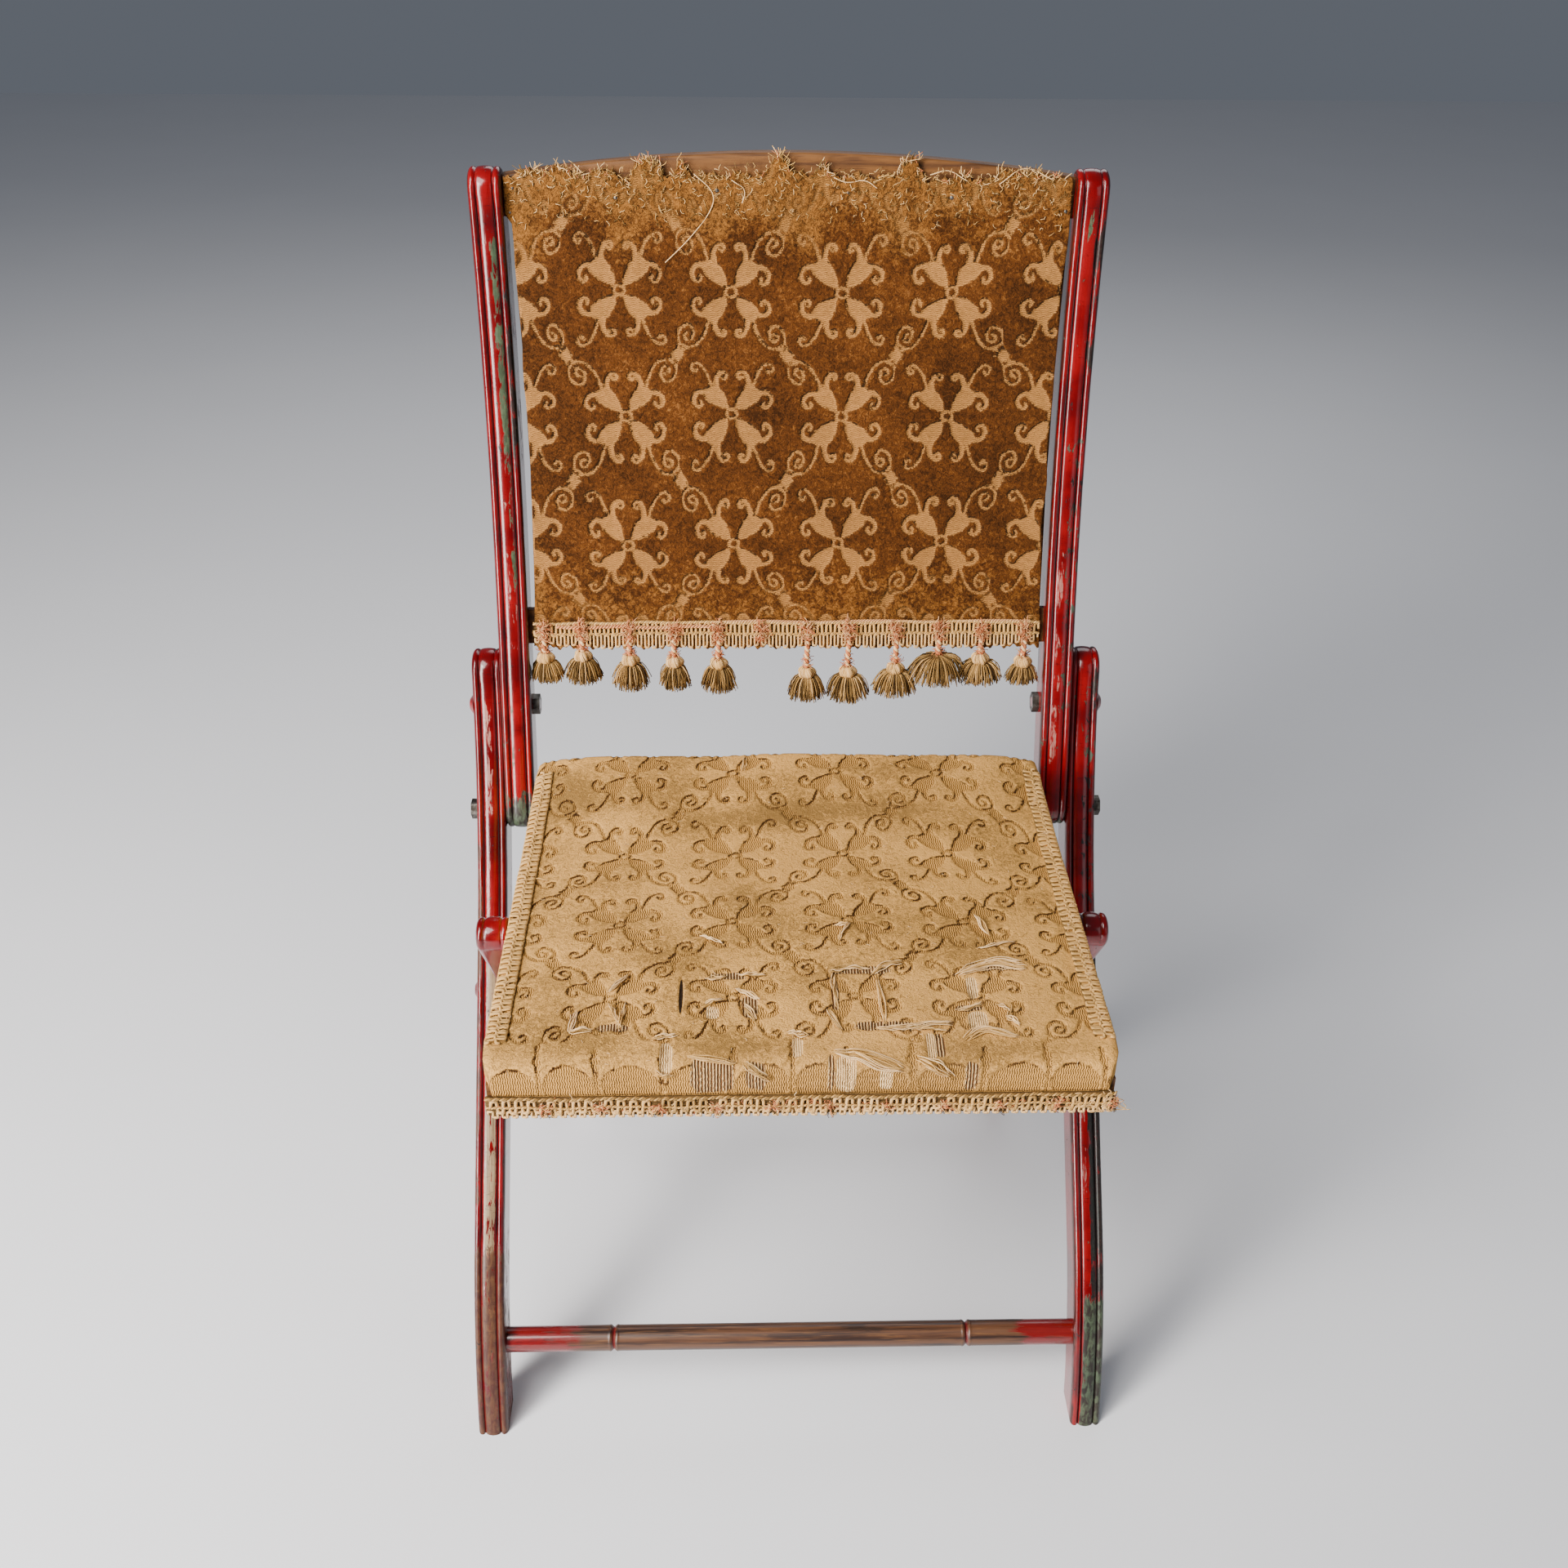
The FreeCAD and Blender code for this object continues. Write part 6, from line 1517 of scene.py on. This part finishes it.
def side_braid(pad, side, draw):
    """Braid along one side of the seat: two rows of squared loops side by side between two thin
    cords, with small knots of loose fibres."""
    skein = Skein()
    for number, middle in enumerate((180.6, 186.9)):
        along, across, over = serpentine(-214, 80, 5.4, 1.2, 16)
        x = middle + 2.7 * across + 0.25 * np.sin(along * 0.1)
        lie = pad.place(side * np.minimum(x, 189.9), along)
        lie[:, 2] += 1.1 + 0.5 * over * (1 if number % 2 else -1)
        skein.add(lie, 0.95, 5, STRAW + 0.05 * number - 0.04)
    y = np.linspace(-213, 80, 800)
    for x, tint in ((177.6, OLIVE), (190.0, STRAW)):
        line = pad.place(np.full(800, side * x), y, 0.7)
        skein.add(plied(line, 0.34, 2.4), 0.42, 4, tint)
    for _ in range(36):
        spot = draw.uniform(-205, 70)
        knot = pad.place(np.array([side * draw.uniform(178, 189)]), np.array([spot]), 1.6)
        fuzz(skein, knot[0], 1.2, 5, draw, PALE, 0.16, 2.2)
    return skein.make("side_braid_" + ("left" if side < 0 else "right"))


# Sheaves of loose yarn: stops in cloth coordinates, count of yarns, how wide they spread
SHEAVES = (
    (((102, -158), (111, -153), (126, -147), (144, -153)), 14, 7),
    (((113, -152), (127, -145), (142, -147)), 8, 4), (((98, -190), (112, -186)), 8, 3),
    (((99, -216), (110, -207), (129, -214)), 12, 6),
    (((47, -207), (59, -207), (76, -205), (92, -203)), 12, 4), (((70, -234), (80, -238), (89, -244)), 9, 5),
    (((20, -228), (32, -230), (45, -235), (60, -239)), 14, 7),
    (((21, -155), (31, -153), (43, -153)), 8, 2.5), (((47, -158), (55, -151), (66, -149)), 9, 3),
    (((22, -160), (21, -173), (23, -187)), 6, 2), (((17, -191), (20, -199), (24, -208)), 8, 3),
    (((49, -162), (50, -183), (51, -202)), 7, 3), (((26, -112), (34, -111)), 6, 3),
    (((34, -111), (30, -120), (27, -127)), 6, 2), (((120, -98), (125, -118)), 7, 5),
    (((118, -133), (133, -128), (142, -124)), 4, 1.5), (((121, -185), (128, -190)), 6, 2),
    (((126, -196), (133, -204)), 6, 2), (((130, -188), (127, -200)), 6, 2),
    (((-137, -189), (-140, -206)), 7, 2), (((-140, -206), (-126, -205)), 8, 4),
    (((-118, -171), (-107, -158)), 7, 3), (((-117, -185), (-110, -202)), 6, 2),
    (((-108, -186), (-110, -202)), 6, 2), (((-57, -163), (-47, -161)), 8, 3),
    (((-58, -186), (-48, -182)), 7, 2), (((-37, -159), (-21, -159)), 9, 3),
    (((-38, -173), (-25, -182)), 8, 3), (((-34, -186), (-28, -199)), 8, 4),
    (((-67, -231), (-53, -233), (-40, -235)), 7, 3), (((-34, -236), (-27, -239), (-20, -246)), 8, 4),
    (((-88, -214), (-76, -213)), 8, 3), (((-86, -239), (-77, -242)), 6, 2), (((-8, -211), (2, -212)), 8, 3),
    (((-63, -121), (-49, -128)), 5, 2), (((-33, 86), (-35, 70)), 6, 3), (((68, -208), (86, -209)), 7, 2),
    (((-180, -46), (-168, -52)), 2, 1))


def loose_yarn(pad, sizes, draw):
    """Yarns pulled out of the worn cloth: each sheaf is a bundle of lines that share its stops,
    close together at their ends and apart in the middle, lying in low arcs on the velvet; fine
    curled hairs lie all over it."""
    skein = Skein()
    share = np.linspace(0, 1, 14)
    arc = np.sin(math.pi * share)
    for stops, count, spread in SHEAVES:
        line = thread(stops, 14)
        way = unit(np.gradient(line, axis=0))
        side = np.stack([-way[:, 1], way[:, 0]], axis=-1)
        offset = np.linspace(-1, 1, count)[:, None] * spread / 2 + draw.normal(0, spread * 0.16, (count, 1))
        bow = offset * (0.55 + 0.45 * arc) + draw.normal(0, 0.5, (count, 1)) * np.sin(share * 7)
        slide = draw.normal(0, 1.4, (count, 1, 1)) * way
        flat = line + slide + bow[..., None] * side
        lift = 0.5 + draw.uniform(0.1, 1.7, (count, 1)) * arc + draw.uniform(0, 0.5, (count, 1))
        places = pad.place(flat[..., 0].ravel(), flat[..., 1].ravel(), lift.ravel()).reshape(count, 14, 3)
        radius = sizes.yarn / MM * draw.uniform(0.7, 1.15, (count, 1)) * (0.5 + 0.5 * arc ** 0.3)
        skein.add(places, radius, 4, draw.choice((STRAW, PALE, PALE - 0.08, OLIVE + 0.1), count))
    hairs = 420
    x, s = draw.uniform(-176, 176, (hairs, 1)), draw.uniform(-244, 84, (hairs, 1))
    x, s = wander(x, s, 0.5, 0.6, draw)
    places = pad.place(x.ravel(), s.ravel(), 0.35).reshape(hairs, 6, 3)
    skein.add(places, 0.14, 3, draw.choice((PALE, STRAW, OLIVE), hairs))
    return skein.make("loose_yarn")


# Turned bars and hardware

def turned_bar(name, x, radius, dark, y, z):
    """Round bar along X about an axis at y and z: its radius and how dark its grooves are, both by
    the place along it."""
    sides = 48
    turn = around(sides)
    rows = points_of(x[:, None], y + radius[:, None] * np.cos(turn), z + radius[:, None] * np.sin(turn))
    dark = np.broadcast_to(dark[:, None], rows.shape[:2])
    return weld(mesh_from(name, rows * MM, tube_faces(len(x), sides), {"hollow": dark}), 1e-6, 40)


def stretcher_steps(half, radius, ring):
    """Stretcher profile as places along it, radii and darkness: a plain bar with two V-cut rings
    between fine beads."""
    x = np.concatenate([np.linspace(0, ring - 5, 16), ring + np.linspace(-4.2, 4.2, 15),
                        np.linspace(ring + 5, half, 8)])
    gap = np.abs(x - ring)
    cut = 1.6 * bound(1 - gap / 1.7) ** 0.8
    bead = 0.35 * np.exp(-((gap - 2.9) / 0.7) ** 2)
    r = radius - cut + bead - 0.25
    dark = bound(1.3 - gap / 1.4)
    return tuple(np.concatenate([sign * run[:0:-1], run]) for sign, run in ((-1, x), (1, r), (1, dark)))


def seat_straps(box):
    """Webbing under the seat: flat tapes both ways, each a thin closed grid whose height is a wave
    that goes over and under the tapes it crosses."""
    (x0, y0, z0), (x1, y1, z1) = (np.array(corner) / MM for corner in box)
    points, faces, count = [], [], 0
    across, along = 5, 6
    pitch_x, pitch_y, middle = (x1 - x0) / along, (y1 - y0) / across, (z0 + z1) / 2
    for way, tapes in ((0, across), (1, along)):
        for number in range(tapes):
            run = np.linspace(0, 1, 73)[:, None]
            wide = np.linspace(-0.43, 0.43, 9)[None, :]
            halves = run * (along if way == 0 else across)
            wave = 0.42 * np.cos(math.pi * (halves + number - 0.5 + way)) * (-1) ** way
            wave = wave * bound(np.minimum(run, 1 - run) * 30)
            if way == 0:
                x, y = x0 + (x1 - x0) * run + 0 * wide, y0 + pitch_y * (number + 0.5 + wide) + 0 * run
            else:
                x, y = x0 + pitch_x * (number + 0.5 + wide) + 0 * run, y0 + (y1 - y0) * run + 0 * wide
            z = middle + wave + 0 * wide
            top, low = points_of(x, y, z + 0.36), points_of(x, y, z - 0.36)
            tape, shapes = shell_of(top, low)
            points.append(tape)
            faces.extend(shape + count for shape in shapes)
            count += len(tape)
    return weld(mesh_from("seat_straps", np.concatenate(points) * MM, faces), 1e-7)


def place_camera(context):
    """Camera at the photograph's viewing angle: turned, tipped down and rolled by small angles."""
    turn, tip, roll = (math.radians(angle) for angle in (1.7177, 32.5286, 0.6168))
    ahead_of = Vector((math.sin(turn) * math.cos(tip), math.cos(turn) * math.cos(tip), -math.sin(tip)))
    right = Vector((math.cos(turn), -math.sin(turn), 0))
    up = right.cross(ahead_of)
    side = right * math.cos(roll) + up * math.sin(roll)
    over = -right * math.sin(roll) + up * math.cos(roll)
    camera = bpy.data.objects.new("camera", bpy.data.cameras.new("camera"))
    camera.data.lens = 36.07
    camera.data.sensor_width = 36.0
    matrix = Matrix((side, over, -ahead_of)).transposed().to_4x4()
    camera.matrix_world = Matrix.Translation((-0.03366, -0.92695, 1.08805)) @ matrix
    context.collection.objects.link(camera)
    context.scene.camera = camera


# Soft studio lamps: place, aim, width, height, power and tint
LAMPS = {
    "key": ((-1.55, -1.30, 1.1), (0.0, 0.0, 0.4), 0.6, 1.9, 128.0, (1.0, 0.97, 0.93)),
    "top": ((-1.2, -1.2, 2.4), (0.0, -0.1, 0.3), 1.4, 1.4, 82.0, (1.0, 0.98, 0.96)),
    "fill": ((1.9, -1.6, 1.3), (0.0, 0.0, 0.4), 1.2, 1.6, 6.0, (0.92, 0.95, 1.0)),
    "back": ((0.4, 2.2, 2.2), (0.0, 0.0, 0.5), 1.8, 1.2, 16.0, (0.95, 0.97, 1.0)),
}
WORLD_TINT, WORLD_STRENGTH = (0.58, 0.64, 0.76, 1.0), 0.2


# Steps that make the chair

class StageOperator(bpy.types.Operator):
    """Floor, lights and camera"""

    bl_idname = "chair.stage"
    bl_label = "Stage"

    def execute(self, context):
        corners = [[-6, -6, 0], [6, -6, 0], [6, 6, 0], [-6, 6, 0]]
        floor = mesh_from("floor", corners, [np.array([[0, 1, 2, 3]])])
        finish = Finish("pale_floor")
        grain = finish.noise(finish.place(), 3.0, 3.0, 0.5)
        colours = context.scene.chair_colours
        colour = finish.mix(grain, finish.shade(colours.floor, 0.96), colours.floor)
        floor.data.materials.append(finish.surface(Base_Color=colour, Roughness=0.6))
        for name, (spot, aim, wide, tall, power, tint) in LAMPS.items():
            light = bpy.data.lights.new(name, "AREA")
            light.shape = "RECTANGLE"
            light.size, light.size_y = wide, tall
            light.energy, light.color = power, tint
            lamp = bpy.data.objects.new(name, light)
            aim_turn = (Vector(aim) - Vector(spot)).to_track_quat("-Z", "Y")
            lamp.matrix_world = Matrix.Translation(spot) @ aim_turn.to_matrix().to_4x4()
            context.collection.objects.link(lamp)
        world = bpy.data.worlds.new("studio")
        world.use_nodes = True
        world.node_tree.nodes["Background"].inputs[0].default_value = WORLD_TINT
        world.node_tree.nodes["Background"].inputs[1].default_value = WORLD_STRENGTH
        context.scene.world = world
        place_camera(context)
        return {"FINISHED"}


class FrameFinishOperator(bpy.types.Operator):
    """Finishes of the parts that keep their own shape, such as rails, bolts and blocks"""

    bl_idname = "chair.frame_finish"
    bl_label = "Frame finishes"

    def execute(self, context):
        colours = context.scene.chair_colours
        rubbed, painted = worn_wood_finish(colours), painted_metal_finish(colours)
        finishes = {"bare_wood": bare_wood_finish(), "worn_wood": rubbed, "jute_webbing": webbing_finish(),
                    "steel_hardware": steel_finish(), "lining_cloth": lining_finish(colours),
                    "lacquered_metal": painted, "lacquered_wood": painted}
        for part in frame["record"]["subparts"]:
            material = finishes.get(part["material_slot"], finishes["lining_cloth"])
            for slot in frame["nodes"][part["node"]].material_slots:
                slot.material = material
        return {"FINISHED"}


class PostsOperator(bpy.types.Operator):
    """Moulded posts: front legs, rear legs and back stiles"""

    bl_idname = "chair.posts"
    bl_label = "Posts"

    def execute(self, context):
        material = lacquer_finish(context.scene.chair_colours)
        leg = outline_of(*chained(FOOT, SHIN, TOP), depth_low=34, depth_high=34)
        rear = outline_of(*chained(FOOT, SHANK), depth_low=34, depth_high=25, narrow_from=FOOT_STEPS)
        stile = outline_of(*chained(STILE_LOW, STILE_TOP), depth_low=30, depth_high=30, two_caps=True)
        for side, hand in ((-1, "left"), (1, "right")):
            for node, outline, x, turned, floor, body in (
                    ("front_leg_", leg, 231.75, False, True, "front_frame"),
                    ("rear_leg_", rear, 207.75, True, True, "rear_frame"),
                    ("back_stile_", stile, 208.75, False, False, "front_frame")):
                name = node + hand
                post = post_shell(name, outline, side * x, turned, floor)
                dress(post, material, body, "lacquered_wood", name)
        return {"FINISHED"}


class BarsOperator(bpy.types.Operator):
    """Turned stretchers"""

    bl_idname = "chair.bars"
    bl_label = "Stretchers"

    def execute(self, context):
        material = worn_wood_finish(context.scene.chair_colours)
        for name, half, y, body in (("front_stretcher", 221.5, -122.6, "front_frame"),
                                    ("rear_stretcher", 197.5, 197.0, "rear_frame")):
            bar = turned_bar(name + "_turned", *stretcher_steps(half, 10.0, half - 84.25), y, 63.0)
            dress(bar, material, body, "worn_wood", name)
        return {"FINISHED"}


class BackOperator(bpy.types.Operator):
    """Velvet, lining, crest rail, frayed edge and nails of the back"""

    bl_idname = "chair.back"
    bl_label = "Back"

    def execute(self, context):
        colours, draw = context.scene.chair_colours, np.random.default_rng(7)
        # The third colour is the painted shadow's: the dark of the strokes along the motifs' shaded edges.
        velvet = velvet_finish("back_velvet", colours.pile, colours.motif, tone(30, 12, 2),
                               tone(158, 104, 46), contrast=0.8, dark_share=0.2, rib_across=False)
        cloth = back_cloth(context.scene.chair_sizes)
        dress(cloth, velvet, "front_frame", "patterned_velvet", "back_cover")
        lining = dress(back_lining(), lining_finish(colours), "front_frame", "lining_cloth", "back_lining")
        dress(crest_board(), bare_wood_finish(), "front_frame", "bare_wood", "crest_rail")
        dress(crest_trim(draw), yarn_finish("frayed_pile", yarn_tints(colours)), "front_frame", "woven_trim")
        dress(crest_nails(), steel_finish(), "front_frame", "steel_hardware")
        return {"FINISHED"}


class TrimOperator(bpy.types.Operator):
    """Woven band and tassels under the back"""

    bl_idname = "chair.trim"
    bl_label = "Band and tassels"

    def execute(self, context):
        sizes, draw = context.scene.chair_sizes, np.random.default_rng(11)
        yarn = yarn_finish("back_yarn", yarn_tints(context.scene.chair_colours))
        dress(back_gimp(sizes, draw), yarn, "front_frame", "woven_trim", "back_band")
        dress(tassel_set(sizes, draw), yarn, "front_frame", "tassel_yarn", "back_tassels")
        return {"FINISHED"}


class SeatOperator(bpy.types.Operator):
    """Seat pad, its cloth skirt, gimp, braids, loose yarn and webbing"""

    bl_idname = "chair.seat"
    bl_label = "Seat"

    def execute(self, context):
        colours, sizes = context.scene.chair_colours, context.scene.chair_sizes
        # The third colour is the painted shadow's: the dark of the strokes along the motifs' shaded edges.
        velvet = velvet_finish("seat_velvet", colours.seat_pile, colours.seat_motif, tone(56, 26, 6),
                               tone(200, 150, 86), contrast=0.9, dark_share=0.36, rib_across=True)
        yarn, draw = yarn_finish("seat_yarn", yarn_tints(colours)), np.random.default_rng(17)
        pad = SeatPad(sizes)
        cushion = dress(pad.make(), velvet, "seat", "seat_velvet", "seat_cushion")
        skirt, area = seat_skirt()
        dress(skirt, velvet, "seat", "seat_velvet", "seat_cover")
        dress(seat_gimp(sizes, draw), yarn, "seat", "woven_trim", "seat_fringe")
        for side, hand in ((-1, "left"), (1, "right")):
            dress(side_braid(pad, side, draw), yarn, "seat", "woven_trim", "seat_braid_" + hand)
        dress(loose_yarn(pad, sizes, draw), yarn, "seat", "woven_trim")
        dress(seat_straps(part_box("seat_webbing")), webbing_finish(), "seat", "jute_webbing", "seat_webbing")
        return {"FINISHED"}


class ChairPanel(bpy.types.Panel):
    """Lists the steps that make the chair, and its sizes and colours"""

    bl_idname = "VIEW3D_PT_chair"
    bl_label = "Folding side chair"
    bl_space_type = "VIEW_3D"
    bl_region_type = "UI"
    bl_category = "Chair"

    def draw(self, context):
        for step in STEPS:
            self.layout.operator(step.bl_idname)
        for group in (context.scene.chair_sizes, context.scene.chair_colours):
            box = self.layout.box()
            for key in type(group).__annotations__:
                box.prop(group, key)


STEPS = (StageOperator, FrameFinishOperator, PostsOperator, BarsOperator, BackOperator, TrimOperator,
         SeatOperator)
CLASSES = (ChairSizes, ChairColours) + STEPS + (ChairPanel,)


def register():
    """Make the classes known to Blender and hang the sizes and colours on the scene."""
    for cls in CLASSES:
        bpy.utils.register_class(cls)
    bpy.types.Scene.chair_sizes = bpy.props.PointerProperty(type=ChairSizes)
    bpy.types.Scene.chair_colours = bpy.props.PointerProperty(type=ChairColours)


def unregister():
    """Take them out again."""
    del bpy.types.Scene.chair_sizes
    del bpy.types.Scene.chair_colours
    for cls in reversed(CLASSES):
        bpy.utils.unregister_class(cls)


def main():
    """Make every piece in order."""
    register()
    for step in STEPS:
        group, action = step.bl_idname.split(".")
        getattr(getattr(bpy.ops, group), action)()


if __name__ == "__main__":
    main()
